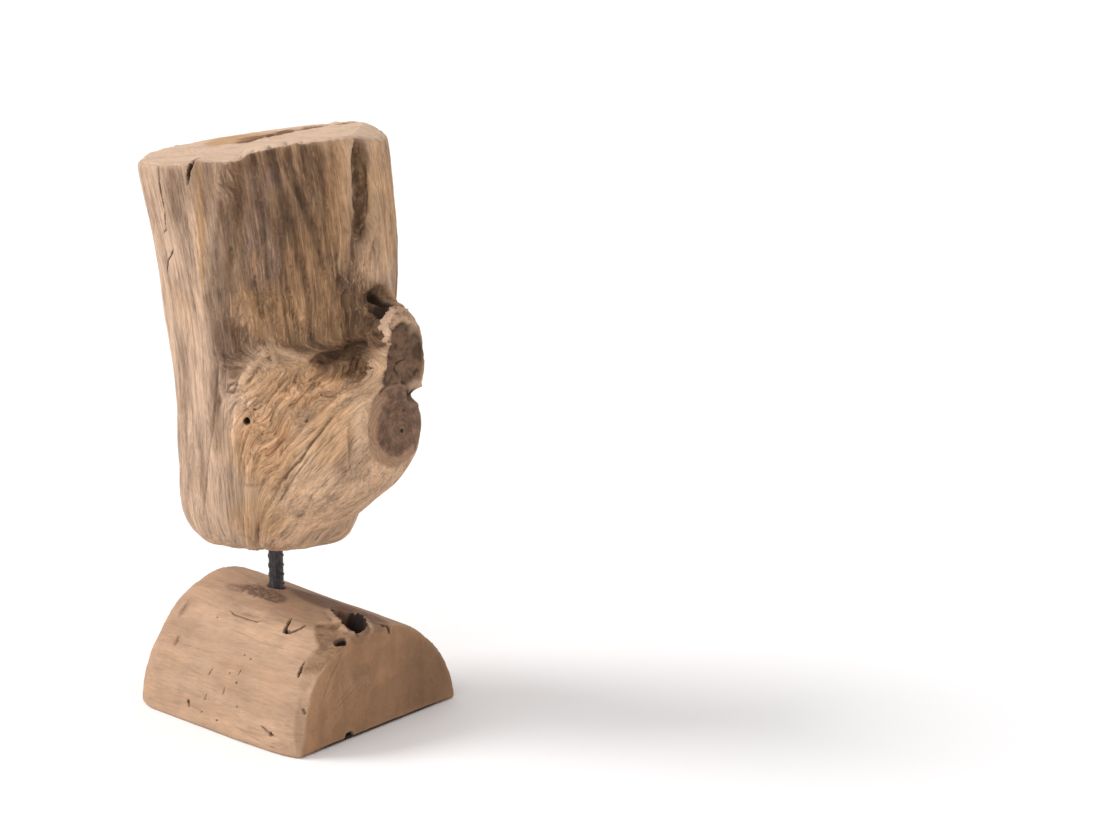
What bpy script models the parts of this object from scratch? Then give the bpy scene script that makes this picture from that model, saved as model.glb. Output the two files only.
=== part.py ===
"""A piece of driftwood on a stand: a worn trunk section with a sawn branch stub, held up by a steel
bar that stands in a half-round log.

Metres, +Z up. The origin is on the bar's axis, in the plane of the log's flat underside. +X runs
along the log. The driftwood is shaped in its own turned frame, x to its right, y to its back, and
an empty turns it into place.
"""

import math

import bmesh
import bpy
from mathutils import Matrix, Vector

MM = 0.001

# The bar: one length of ribbed reinforcing bar, measured over its ribs.
BAR_DIAMETER = 12.6
BAR_BOTTOM = 20.0
BAR_TOP = 200.0
BAR_SIDES = 24
HOLE_GAP = 0.3

# The log: half of a round, lying on its sawn flat.
LOG_MIDDLE_Y = -5.0
# Place along the log, its height there, then its half width and how square it is to the front,
# and the same to the back.
LOG_SECTIONS = (
    (-63, 88.6, 82.0, 1.84, 80.0, 2.00),
    (-48, 88.0, 88.0, 1.84, 80.5, 2.00),
    (-30, 87.0, 88.5, 1.86, 80.5, 2.00),
    (10, 84.5, 88.0, 1.94, 80.0, 2.00),
    (50, 82.8, 88.0, 2.02, 80.5, 1.95),
    (90, 82.0, 86.5, 2.16, 82.0, 1.82),
    (108, 81.8, 84.0, 2.26, 82.5, 1.76),
    (118, 81.8, 80.5, 2.32, 82.0, 1.74),
)
LOG_RINGS = 19
LOG_ARC_STEPS = 28
LOG_EDGE = 2.2
LOG_EDGE_STEPS = 2

# The driftwood.
DRIFT_TURN = math.radians(40.7)
TRUNK_SIDES = 72
TRUNK_RINGS = 44
TRUNK_ROUNDNESS = 2.25
TOP_MIDDLE = 431.5
TOP_SLOPE = 0.125
# How steeply the top climbs to the back.
TOP_TILT = 0.025
TOP_SPARE = 14.0
# Where the worn right-hand edge of the top starts, and how steeply it falls away.
TOP_WORN_FROM = 71.0
TOP_WORN_SLOPE = -0.32
# Height, then how far the trunk reaches to its left, right, front and back.
TRUNK_SECTIONS = (
    (128, 36, 45, 40, 44),
    (130, 47, 57, 53, 56),
    (136, 57, 61, 63, 64),
    (146, 65, 66, 69, 70),
    (161, 69, 70, 73, 74),
    (185, 69, 75, 75, 77),
    (215, 68, 81, 75, 78),
    (250, 68.5, 89, 75, 79),
    (285, 72, 95, 76, 80),
    (320, 77, 98, 77, 82),
    (358, 82, 97.5, 78, 85),
    (399, 89.5, 95, 80, 88),
    (455, 97, 88, 82, 90),
)
# The lengthwise waves of the trunk: how many go round it, how deep they are and where they start.
TRUNK_WAVES = ((5, 1.5, 0.6), (9, 1.1, 2.1), (14, 0.7, 4.0))
WAVE_TWIST = 0.0035

# The branch rises out of the trunk's foot, to the right and to the front, and is sawn off.
# A point of its middle line, then its half width and half height there.
BRANCH_STATIONS = (
    ((-2, -8, 144), 26, 22),
    ((18, -26, 167), 44, 39),
    ((44, -45, 195), 46, 44),
    ((74, -61, 217), 40, 41),
    ((95, -73, 229), 33, 39),
    ((108, -83, 234), 30, 34),
    ((124, -97, 245), 25, 27),
)
# The bark shoulder that hangs over the branch, from its tip on the trunk down to its blunt end.
SHOULDER_STATIONS = (
    ((80, -10, 330), 7, 8),
    ((86, -26, 317), 15, 14),
    ((94, -45, 303), 20, 18),
    ((102, -59, 287), 23, 21),
    ((104, -63, 271), 23, 21),
    ((101, -62, 255), 20, 17),
    ((97, -60, 240), 12, 10),
)
LIMB_SIDES = 32
LIMB_RINGS = 22
SAW_POINT = (103, -76, 233)
SAW_NORMAL = (0.755, -0.655, 0.03)

# Worn hollows: middle, half sizes, and a turn about x, y and z in degrees.
HOLLOWS = (
    ((90, -42, 321), (13, 22, 7.5), (0, 14, -36)),
    ((54, -77, 279), (25, 17, 7), (0, -22, 14)),
    ((75, -54, 404), (6.5, 16, 41), (0, 3, 0)),
)
# The drying crack in the top: where it runs, how wide its mouth is and how deep it goes.
CRACK_LINE = ((-12, 34), (22, 52), (50, 66), (92, 74))
CRACK_WIDTH = 4.2
CRACK_DEPTH = 34.0

BODY_VOXEL = 3.6
BODY_SMOOTHING = 6
BODY_KEEP = 0.2

WOOD_COLOUR = (0.42, 0.26, 0.16, 1.0)
LOG_COLOUR = (0.55, 0.35, 0.22, 1.0)
STEEL_COLOUR = (0.05, 0.045, 0.047, 1.0)


def clear_scene():
    for obj in list(bpy.data.objects):
        bpy.data.objects.remove(obj)


def material(name, colour, roughness, metallic=0.0):
    made = bpy.data.materials.new(name)
    made.use_nodes = True
    surface = made.node_tree.nodes["Principled BSDF"]
    surface.inputs["Base Color"].default_value = colour
    surface.inputs["Roughness"].default_value = roughness
    surface.inputs["Metallic"].default_value = metallic
    return made


def add_object(name, mesh, parent=None, finish=None):
    obj = bpy.data.objects.new(name, mesh)
    bpy.context.scene.collection.objects.link(obj)
    obj.parent = parent
    if finish:
        mesh.materials.append(finish)
    return obj


def as_cutter(obj):
    obj.hide_render = True
    obj.display_type = "WIRE"
    return obj


def curve_through(stops, count):
    """count rows of numbers on the smooth Catmull-Rom curve through the rows of stops."""
    last = len(stops) - 1
    rows = []
    for step in range(count):
        place = last * step / (count - 1)
        i = min(int(place), last - 1)
        t = place - i
        before, start, end, after = (stops[min(max(k, 0), last)] for k in (i - 1, i, i + 1, i + 2))
        rows.append([
            0.5 * (2 * b + (c - a) * t + (2 * a - 5 * b + 4 * c - d) * t**2 + (3 * b - a - 3 * c + d) * t**3)
            for a, b, c, d in zip(before, start, end, after)
        ])
    return rows


def loft(name, rings):
    """A closed mesh, in metres, through rings of millimetre points, with a face at each end."""
    made = bmesh.new()
    loops = [[made.verts.new(Vector(point) * MM) for point in ring] for ring in rings]
    for low, high in zip(loops, loops[1:]):
        for i in range(len(low)):
            j = (i + 1) % len(low)
            made.faces.new((low[i], low[j], high[j], high[i]))
    made.faces.new(reversed(loops[0]))
    made.faces.new(loops[-1])
    bmesh.ops.recalc_face_normals(made, faces=made.faces)
    mesh = bpy.data.meshes.new(name)
    made.to_mesh(mesh)
    made.free()
    return mesh


def trunk_rings():
    rings = []
    for height, left, right, front, back in curve_through(TRUNK_SECTIONS, TRUNK_RINGS):
        ring = []
        for side in range(TRUNK_SIDES):
            turn = math.tau * side / TRUNK_SIDES
            across, along = math.cos(turn), math.sin(turn)
            power = 2.0 / TRUNK_ROUNDNESS
            x = math.copysign(abs(across) ** power, across) * (right if across > 0 else left)
            y = math.copysign(abs(along) ** power, along) * (back if along > 0 else front)
            wave = sum(
                depth * math.sin(count * (turn + WAVE_TWIST * (height - TOP_MIDDLE)) + start)
                for count, depth, start in TRUNK_WAVES
            )
            reach = math.hypot(x, y)
            grown = (reach + wave) / reach
            ring.append((x * grown, y * grown, height))
        rings.append(ring)
    return rings


def limb_rings(stations):
    """Oval rings square to the middle line through the stations, each in an upright plane's tilt."""
    rows = curve_through([(*middle, wide, tall) for middle, wide, tall in stations], LIMB_RINGS)
    middles = [Vector(row[:3]) for row in rows]
    rings = []
    for i, row in enumerate(rows):
        ahead = (middles[min(i + 1, LIMB_RINGS - 1)] - middles[max(i - 1, 0)]).normalized()
        aside = ahead.cross(Vector((0.55, 0.6, 0.58))).normalized() if abs(ahead.z) > 0.8 else ahead.cross(
            Vector((0, 0, 1))).normalized()
        above = aside.cross(ahead).normalized()
        turns = [math.tau * side / LIMB_SIDES for side in range(LIMB_SIDES)]
        rings.append([
            middles[i] + aside * row[3] * math.cos(turn) + above * row[4] * math.sin(turn)
            for turn in turns
        ])
    return rings


def joined_body():
    """The trunk, the branch and the shoulder as one mesh of overlapping closed shapes."""
    whole = bmesh.new()
    for rings in (trunk_rings(), limb_rings(BRANCH_STATIONS), limb_rings(SHOULDER_STATIONS)):
        mesh = loft("limb", rings)
        whole.from_mesh(mesh)
        bpy.data.meshes.remove(mesh)
    mesh = bpy.data.meshes.new("driftwood")
    whole.to_mesh(mesh)
    whole.free()
    return mesh


def box_mesh(name, size):
    made = bmesh.new()
    bmesh.ops.create_cube(made, size=1.0)
    bmesh.ops.scale(made, vec=Vector(size) * MM, verts=made.verts)
    mesh = bpy.data.meshes.new(name)
    made.to_mesh(mesh)
    made.free()
    return mesh


def upright_cylinder(name, radius, bottom, top):
    made = bmesh.new()
    bmesh.ops.create_cone(
        made, cap_ends=True, segments=BAR_SIDES, radius1=radius * MM, radius2=radius * MM,
        depth=(top - bottom) * MM,
    )
    bmesh.ops.translate(made, vec=(0, 0, (bottom + top) / 2 * MM), verts=made.verts)
    mesh = bpy.data.meshes.new(name)
    made.to_mesh(mesh)
    made.free()
    return mesh


def hollow_cutters(parent):
    group = bpy.data.collections.new("hollows")
    bpy.context.scene.collection.children.link(group)
    for i, (middle, halves, turns) in enumerate(HOLLOWS):
        made = bmesh.new()
        bmesh.ops.create_icosphere(made, subdivisions=3, radius=1.0)
        turn = Matrix.Rotation(0, 4, "X")
        for degrees, axis in zip(turns, "XYZ"):
            turn = Matrix.Rotation(math.radians(degrees), 4, axis) @ turn
        sizes = Matrix.Diagonal((*(half * MM for half in halves), 1.0))
        place = Matrix.Translation(Vector(middle) * MM)
        bmesh.ops.transform(made, matrix=place @ turn @ sizes, verts=made.verts)
        mesh = bpy.data.meshes.new(f"hollow_{i}")
        made.to_mesh(mesh)
        made.free()
        cutter = as_cutter(bpy.data.objects.new(mesh.name, mesh))
        cutter.parent = parent
        group.objects.link(cutter)
    return group


def top_cutter(name, parent, start, slope):
    """A slab whose lower face passes above the point start along x and climbs to the right by slope."""
    slab = as_cutter(add_object(name, box_mesh(name, (400, 400, 100)), parent))
    point = Vector((start, 0, TOP_MIDDLE + TOP_SLOPE * start)) * MM
    slab.matrix_local = (
        Matrix.Translation(point)
        @ Matrix.Rotation(-math.atan(slope), 4, "Y")
        @ Matrix.Rotation(math.atan(TOP_TILT), 4, "X")
        @ Matrix.Translation((0, 0, 50 * MM))
    )
    return slab


def saw_cutter(parent):
    """A slab that starts at the branch's sawn face and reaches away from the trunk."""
    slab = as_cutter(add_object("saw_cutter", box_mesh("saw_cutter", (160, 260, 100)), parent))
    away = Vector(SAW_NORMAL).normalized()
    turn = Vector((0, 0, 1)).rotation_difference(away).to_matrix().to_4x4()
    slab.matrix_local = (
        Matrix.Translation(Vector(SAW_POINT) * MM) @ turn @ Matrix.Translation((0, 0, 50 * MM))
    )
    return slab


def crack_cutter(parent):
    """A blade along the crack's line, wide at the mouth and sharp at the bottom."""
    rows = curve_through(CRACK_LINE, 13)
    rings = []
    for i, (x, y) in enumerate(rows):
        after, before = rows[min(i + 1, len(rows) - 1)], rows[max(i - 1, 0)]
        run = Vector((after[0] - before[0], after[1] - before[1])).normalized()
        opening = 0.35 + 0.65 * math.sin(math.pi * min(1.0, 0.12 + i / (len(rows) - 1)))
        half = CRACK_WIDTH / 2 * opening
        deep = CRACK_DEPTH * opening
        mouth = TOP_MIDDLE + TOP_SLOPE * x + TOP_SPARE
        rings.append([
            (x - run.y * half, y + run.x * half, mouth),
            (x - run.y * half * 0.9, y + run.x * half * 0.9, mouth - TOP_SPARE),
            (x, y, mouth - TOP_SPARE - deep),
            (x + run.y * half * 0.9, y - run.x * half * 0.9, mouth - TOP_SPARE),
            (x + run.y * half, y - run.x * half, mouth),
        ])
    return as_cutter(add_object("crack_cutter", loft("crack_cutter", rings), parent))


def cut(obj, name, cutter):
    modifier = obj.modifiers.new(name, "BOOLEAN")
    modifier.operation = "DIFFERENCE"
    modifier.object = cutter
    return modifier


def build_driftwood():
    turned = bpy.data.objects.new("driftwood_place", None)
    bpy.context.scene.collection.objects.link(turned)
    turned.rotation_euler = (0, 0, DRIFT_TURN)
    wood = add_object("driftwood", joined_body(), turned, material("driftwood", WOOD_COLOUR, 0.75))

    blend = wood.modifiers.new("grow together", "REMESH")
    blend.mode = "VOXEL"
    blend.voxel_size = BODY_VOXEL * MM
    blend.use_smooth_shade = True
    worn = wood.modifiers.new("hollows", "BOOLEAN")
    worn.operation = "DIFFERENCE"
    worn.operand_type = "COLLECTION"
    worn.collection = hollow_cutters(turned)
    again = wood.modifiers.new("even out", "REMESH")
    again.mode = "VOXEL"
    again.voxel_size = BODY_VOXEL * MM
    soft = wood.modifiers.new("wear", "SMOOTH")
    soft.factor = 0.5
    soft.iterations = BODY_SMOOTHING
    fewer = wood.modifiers.new("fewer faces", "DECIMATE")
    fewer.ratio = BODY_KEEP

    cut(wood, "sawn top", top_cutter("top_cutter", turned, 0.0, TOP_SLOPE))
    cut(wood, "worn top edge", top_cutter("edge_cutter", turned, TOP_WORN_FROM, TOP_WORN_SLOPE))
    cut(wood, "sawn branch", saw_cutter(turned))
    cut(wood, "drying crack", crack_cutter(turned))
    hole = upright_cylinder("drift_hole", BAR_DIAMETER / 2 + HOLE_GAP, 90.0, BAR_TOP + HOLE_GAP)
    cut(wood, "bar hole", as_cutter(add_object("drift_hole", hole, turned)))
    return wood


def log_rings():
    """Half-round sections along the log, higher at its left end and squarer to its front."""
    rings = []
    for x, height, front, front_power, back, back_power in curve_through(LOG_SECTIONS, LOG_RINGS):
        ring = []
        for step in range(LOG_ARC_STEPS + 1):
            turn = math.pi * step / LOG_ARC_STEPS
            across, up = math.cos(turn), max(0.0, math.sin(turn))
            half, power = (front, front_power) if across > 0 else (back, back_power)
            wave = 1.0 + 0.007 * up * (math.sin(5 * turn + 1.2) + math.sin(9 * turn + x / 60))
            y = LOG_MIDDLE_Y - math.copysign(abs(across) ** (2 / power), across) * half * wave
            z = up ** (2 / power) * height * wave
            ring.append((x, y, z if 0 < step < LOG_ARC_STEPS else 0.0))
        rings.append(ring)
    return rings


def build_log():
    log = add_object("base_log", loft("base_log", log_rings()), None, material("base_log", LOG_COLOUR, 0.7))
    edge = log.modifiers.new("sanded edges", "BEVEL")
    edge.width = LOG_EDGE * MM
    edge.segments = LOG_EDGE_STEPS
    edge.limit_method = "ANGLE"
    edge.angle_limit = math.radians(50)
    hole = upright_cylinder("log_hole", BAR_DIAMETER / 2 + HOLE_GAP, BAR_BOTTOM - HOLE_GAP, 120.0)
    cut(log, "bar hole", as_cutter(add_object("log_hole", hole)))
    return log


def build_bar():
    mesh = upright_cylinder("steel_bar", BAR_DIAMETER / 2, BAR_BOTTOM, BAR_TOP)
    mesh.shade_smooth()
    mesh.set_sharp_from_angle(angle=math.radians(40))
    return add_object("steel_bar", mesh, None, material("steel_bar", STEEL_COLOUR, 0.5, 0.8))


def main():
    clear_scene()
    build_log()
    build_bar()
    build_driftwood()


main()
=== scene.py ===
"""The looks of a piece of driftwood on its stand, laid out as an add-on and run as a script.

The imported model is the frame. The driftwood and the log start as finely meshed copies of its solids,
which are then worn, split and bored here, and the steel bar is modelled anew with its ribs. Shapes on
the driftwood are placed in millimetres in its own turned frame: x to its right, y to its back, z up.
"""

import math

import bmesh
import bpy
import numpy as np
from bpy.props import FloatProperty, FloatVectorProperty, IntProperty, PointerProperty
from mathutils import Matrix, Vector


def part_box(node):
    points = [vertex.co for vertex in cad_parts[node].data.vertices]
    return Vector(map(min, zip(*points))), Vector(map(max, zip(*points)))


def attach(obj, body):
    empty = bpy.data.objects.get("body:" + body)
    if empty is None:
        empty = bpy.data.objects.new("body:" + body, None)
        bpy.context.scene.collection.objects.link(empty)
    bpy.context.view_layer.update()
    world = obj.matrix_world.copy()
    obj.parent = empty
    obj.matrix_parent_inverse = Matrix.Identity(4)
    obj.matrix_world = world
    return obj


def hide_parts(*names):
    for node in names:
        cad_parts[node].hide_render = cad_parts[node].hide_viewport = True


bl_info = {
    "name": "Piece of driftwood",
    "version": (1, 0),
    "blender": (4, 5, 0),
    "location": "3D View > Sidebar > Driftwood",
    "description": "Builds a mounted piece of driftwood, its stand and a plain studio",
    "category": "Object",
}

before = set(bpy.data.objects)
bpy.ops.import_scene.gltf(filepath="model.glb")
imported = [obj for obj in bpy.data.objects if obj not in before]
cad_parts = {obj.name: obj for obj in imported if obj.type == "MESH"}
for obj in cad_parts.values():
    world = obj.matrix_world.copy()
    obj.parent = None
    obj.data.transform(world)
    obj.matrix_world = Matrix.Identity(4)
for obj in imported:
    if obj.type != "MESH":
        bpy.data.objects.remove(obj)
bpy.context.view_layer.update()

MM = 0.001
DRIFT_TURN = math.radians(40.7)

# The sawn top and the sawn branch, as planes.
TOP_HEIGHT, TOP_SLOPE, TOP_TILT = 431.5, 0.125, 0.025
EDGE_FROM, EDGE_SLOPE = 71.0, -0.32
SAW_POINT = np.array((103.0, -76.0, 233.0))
SAW_NORMAL = np.array((0.755, -0.655, 0.03))
STUB_MIDDLE = np.array((103.0, -77.5, 232.0))
STUB_ACROSS = np.array((0.655, 0.755, 0.0))
STUB_HALF_WIDTH, STUB_HALF_HEIGHT = 27.0, 31.0
STUB_PITH = np.array((106.0, -73.0, 228.0))
TOP_PITH = np.array((20.0, 10.0, 434.0))

# The bar's holes in the two pieces of wood: how wide, and between which heights they are kept clear.
BAR_HOLE_RADIUS = 6.7
BAR_HOLE_BOTTOM, BAR_HOLE_TOP = 10.0, 202.0

LOG_MIDDLE_Y = -5.0
TRUNK_TRIANGLES, LOG_TRIANGLES = 196000, 190000

# A groove deeper than this has steep walls, with painted shade up to the rim.
DEEP = 9

# How far the front rim of the top stands above the flat, from left to right.
RIM_RISE = (
    (-95, 0), (-71, -0.5), (-57, -1.2), (-46, -0.8), (-37, 0.4), (-30, -0.8), (-22, -1.8), (-10, -2.6),
    (-5, -0.5), (2, 2.0), (10, 3.0), (19, 3.8), (30, 3.7), (41, 3.2), (55, 2.4), (68, 1.6), (79, 1.0),
    (90, 0),
)

# Grooves, cracks and flutes: the line they follow, half width, depth, and how dark they are; the darkness is
# painted shade in them.
DRIFT_GROOVES = {
    "groove up to the stub": (
        ((64, -82, 249), (55, -85, 242), (46, -88, 229), (38, -88, 219), (32, -88, 209), (24, -85, 201),
         (15, -81, 188), (5, -74, 167), (-1, -72, 157)), 2.4, 1.6, 0.2),
    "its wide bed": (
        ((70, -82, 252), (46, -88, 231), (32, -88, 211), (15, -81, 189)), 8.0, 2.0, 0.0),
    "second line": (
        ((44, -90, 216), (37, -90, 208), (29, -88, 198), (22, -85, 187), (13, -78, 173)), 1.3, 0.8, 0.35),
    "third line": (((80, -82, 259), (66, -87, 248), (55, -91, 233), (46, -93, 217)), 2.0, 0.8, 0.15),
    "fourth line": (((70, -86, 245), (60, -90, 231), (52, -94, 214), (44, -92, 200)), 1.4, 0.5, 0.12),
    "crack along the underside": (
        ((35, -52, 134), (43, -56, 143), (52, -60, 152), (61, -64, 160), (70, -66, 166)), 1.2, 1.8, 0.5),
    "split in the rim": (
        ((-37, -55, 430), (-38, -66, 428), (-39, -76, 424), (-42, -75, 418), (-44, -75, 408)), 1.6, 5.0, 0.8),
    "crack on the left": (
        ((-66, -63, 424), (-65, -61, 401), (-63, -60, 388), (-64, -56, 373), (-68, -50, 369)), 1.0, 1.5, 0.7),
    "crack under it": (((-58, -60, 362), (-61, -57, 356), (-65, -52, 350), (-68, -47, 338)), 1.0, 1.4, 0.75),
    "left check 1": (((-74, -40, 410), (-72, -42, 385), (-70, -44, 362)), 0.8, 0.4, 0.2),
    "left check 2": (((-52, -70, 420), (-50, -70, 396), (-49, -68, 380)), 1.0, 0.5, 0.2),
    "left check 3": (((-56, -60, 330), (-54, -60, 300), (-55, -58, 280)), 0.9, 0.4, 0.15),
    "left check 4": (((-60, -50, 260), (-60, -50, 232), (-62, -46, 214)), 0.8, 0.4, 0.15),
    "flute 1": (
        ((-7, -60, 430), (-6, -78, 427), (-6, -77, 399), (-12, -76, 366), (-16, -75, 340)), 5.0, 2.0, 0.1),
    "flute 2": (((3, -62, 431), (4, -79, 428), (6, -78, 410), (9, -77, 385), (11, -75, 358)), 3.6, 1.8, 0.2),
    "flute 3": (
        ((13, -60, 433), (17, -77, 430), (21, -78, 415), (28, -76, 385), (36, -74, 350),
         (40, -72, 330)), 4.4, 2.4, 0.25),
    "flute 4": (
        ((25, -60, 435), (29, -77, 431), (30, -78, 414), (38, -75, 396), (45, -73, 376),
         (51, -70, 350), (54, -68, 330)), 3.8, 2.2, 0.3),
    "flute 5": (
        ((36, -58, 436), (39, -75, 432), (41, -75, 412), (47, -73, 380), (52, -71, 360)), 2.8, 1.2, 0.15),
    "flute 6": (
        ((46, -58, 437), (48, -71, 434), (50, -70, 415), (56, -68, 385), (60, -66, 360)), 3.4, 1.2, 0.1),
    "flute 7": (((57, -54, 438), (59, -68, 434), (60, -68, 415), (62, -66, 390)), 2.2, 0.9, 0.1),
    "flute 8": (((-17, -80, 420), (-20, -78, 396), (-25, -76, 360), (-28, -74, 330)), 3.4, 1.2, 0.1),
    "flute 9": (((0, -76, 345), (3, -76, 325), (10, -76, 305)), 3.4, 1.4, 0.15),
    "flute 10": (((24, -74, 338), (28, -74, 318), (34, -73, 298)), 3.4, 1.4, 0.15),
    "flute 11": (((60, -64, 345), (63, -62, 325), (66, -60, 305)), 3.6, 1.6, 0.15),
    "flute 12": (((-30, -74, 330), (-27, -74, 310), (-25, -74, 288)), 3.4, 1.4, 0.1),
    "pocket": (
        ((74, -50, 450), (76, -48, 425), (78, -47, 402), (79, -49, 384), (76, -54, 366)), 10.5, 5.5, 0.1),
    "pocket, its deep side": (
        ((81, -45, 424), (83, -45, 402), (81, -48, 386), (77, -53, 370)), 3.4, 2.4, 0.25),
    "pocket's run out": (((72, -57, 368), (70, -60, 350), (70, -60, 330)), 4.0, 1.2, 0.05),
    "fissure down the left": (
        ((-31, -72, 300), (-28, -72, 276), (-31, -70, 253), (-34, -68, 225), (-38, -65, 204), (-41, -62, 191),
         (-44, -58, 165), (-46, -55, 145)), 1.2, 0.8, 0.22),
    "its wide bed, left": (((-26, -74, 290), (-27, -72, 262), (-30, -70, 240)), 7.0, 1.6, 0.0),
    "fissure beside it": (((-24, -76, 300), (-22, -76, 276), (-24, -75, 255)), 1.4, 1.0, 0.2),
    "under the overhang": (
        ((42, -70, 277), (52, -66, 281), (64, -60, 284), (76, -56, 288), (88, -60, 292)), 6.0, 4.0, 0.32),
    "shade under it": (((44, -70, 276), (56, -66, 279), (70, -58, 283), (82, -62, 288)), 7.0, 0.5, 0.3),
    "behind the lobe": (
        ((78, -36, 328), (83, -38, 321), (94, -38, 317), (106, -42, 316), (116, -38, 313),
         (124, -30, 308)), 6.5, 7.0, 1.0),
    "hollow's foot": (
        ((82, -48, 316), (87, -54, 315), (91, -60, 312), (96, -60, 314), (101, -56, 316)), 5.5, 6.0, 0.95),
    "ring of the knot": (
        ((83, -66, 306), (88, -64, 311), (94, -66, 310), (96, -70, 304), (91, -72, 299),
         (85, -71, 300), (83, -66, 306)),
        1.8, 1.2, 0.35),
    "under the shelf": (
        ((-14, -77, 254), (-8, -77, 262), (-2, -77, 270), (4, -77, 278), (9, -77, 285)), 2.4, 1.2, 0.1),
    "ragged step": (
        ((-9, -77, 272), (-14, -77, 265), (-19, -75, 262), (-21, -73, 257), (-16, -76, 257),
         (-13, -76, 263), (-11, -77, 272)),
        1.6, 1.2, 0.3),
    "small slot": (((78, -52, 270), (83, -62, 272), (88, -74, 275)), 1.7, 3.0, 0.9),
    "seam beside the stub": (((104, -73, 280), (103, -74, 273), (106, -72, 269)), 0.9, 1.4, 0.8),
    "seam on the lobe": (((104, -73, 277), (107, -70, 279), (111, -66, 280)), 0.9, 1.2, 0.7),
    "dark check on the lobe": (((98, -80, 286), (100, -78, 282), (103, -75, 284)), 1.2, 1.2, 0.6),
    "notch between stub and lobe": (
        ((126, -36, 249), (119, -52, 250), (114, -62, 252), (109, -67, 256)), 5.5, 6.5, 0.25),
    "curl of the fibres": (
        ((24, -73, 243), (26, -73, 238), (29, -74, 233), (34, -78, 232), (37, -76, 237)), 1.6, 0.8, 0.08),
    "curl under it": (((23, -75, 229), (17, -76, 224), (10, -76, 222), (4, -76, 226)), 1.6, 0.8, 0.08),
    "line in the rough": (((44, -72, 262), (36, -74, 254), (30, -74, 248), (22, -75, 246)), 1.4, 1.0, 0.25),
    "second line in the rough": (
        ((60, -72, 266), (50, -74, 256), (42, -77, 246), (36, -80, 236)), 1.4, 1.0, 0.25),
    "fold at the foot": (((-11, -74, 188), (-6, -75, 187), (0, -76, 188), (6, -77, 193)), 2.4, 1.4, 0.1),
    "foot line 1": (((8, -76, 180), (0, -72, 160), (-4, -68, 145)), 1.6, 1.0, 0.15),
    "foot line 2": (((-2, -72, 160), (-4, -68, 146), (-8, -62, 134)), 2.4, 1.2, 0.25),
    "foot line 3": (((30, -84, 186), (18, -76, 162), (12, -70, 146)), 1.2, 0.6, 0.12),
    "foot line 4": (((44, -86, 190), (30, -76, 164), (22, -68, 148)), 1.2, 0.6, 0.12),
    "foot line 5": (((62, -82, 180), (46, -72, 158), (34, -62, 142)), 1.2, 0.6, 0.2),
    "back check 1": (((-20, 86, 436), (-18, 84, 380), (-12, 82, 320), (-10, 80, 260)), 1.8, 2.6, 0.7),
    "back check 2": (((40, 84, 400), (44, 80, 340), (40, 78, 280)), 1.4, 1.8, 0.6),
    "back check 3": (((-60, 60, 380), (-58, 60, 320), (-52, 60, 250)), 1.4, 1.8, 0.6),
    "back check 4": (((84, 40, 380), (84, 40, 330), (78, 44, 280)), 1.6, 2.0, 0.6),
    "back check 5": (((10, 78, 240), (8, 78, 200), (14, 76, 160)), 1.6, 2.0, 0.6),
    "top crack": (
        ((-14, 9, 431), (-2, 17, 432), (8, 29, 434), (16, 44, 435), (24, 56, 437),
         (38, 62, 439)), 2.4, 4.0, 0.6),
    "bed of the crack": (
        ((-18, 14, 431), (-6, 23, 432), (4, 35, 434), (12, 50, 435), (22, 62, 437),
         (40, 70, 439)), 9.0, 4.5, 0.12),
    "slot at the back": (((46, 60, 440), (56, 62, 441), (64, 60, 442)), 2.6, 4.0, 0.8),
}
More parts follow.
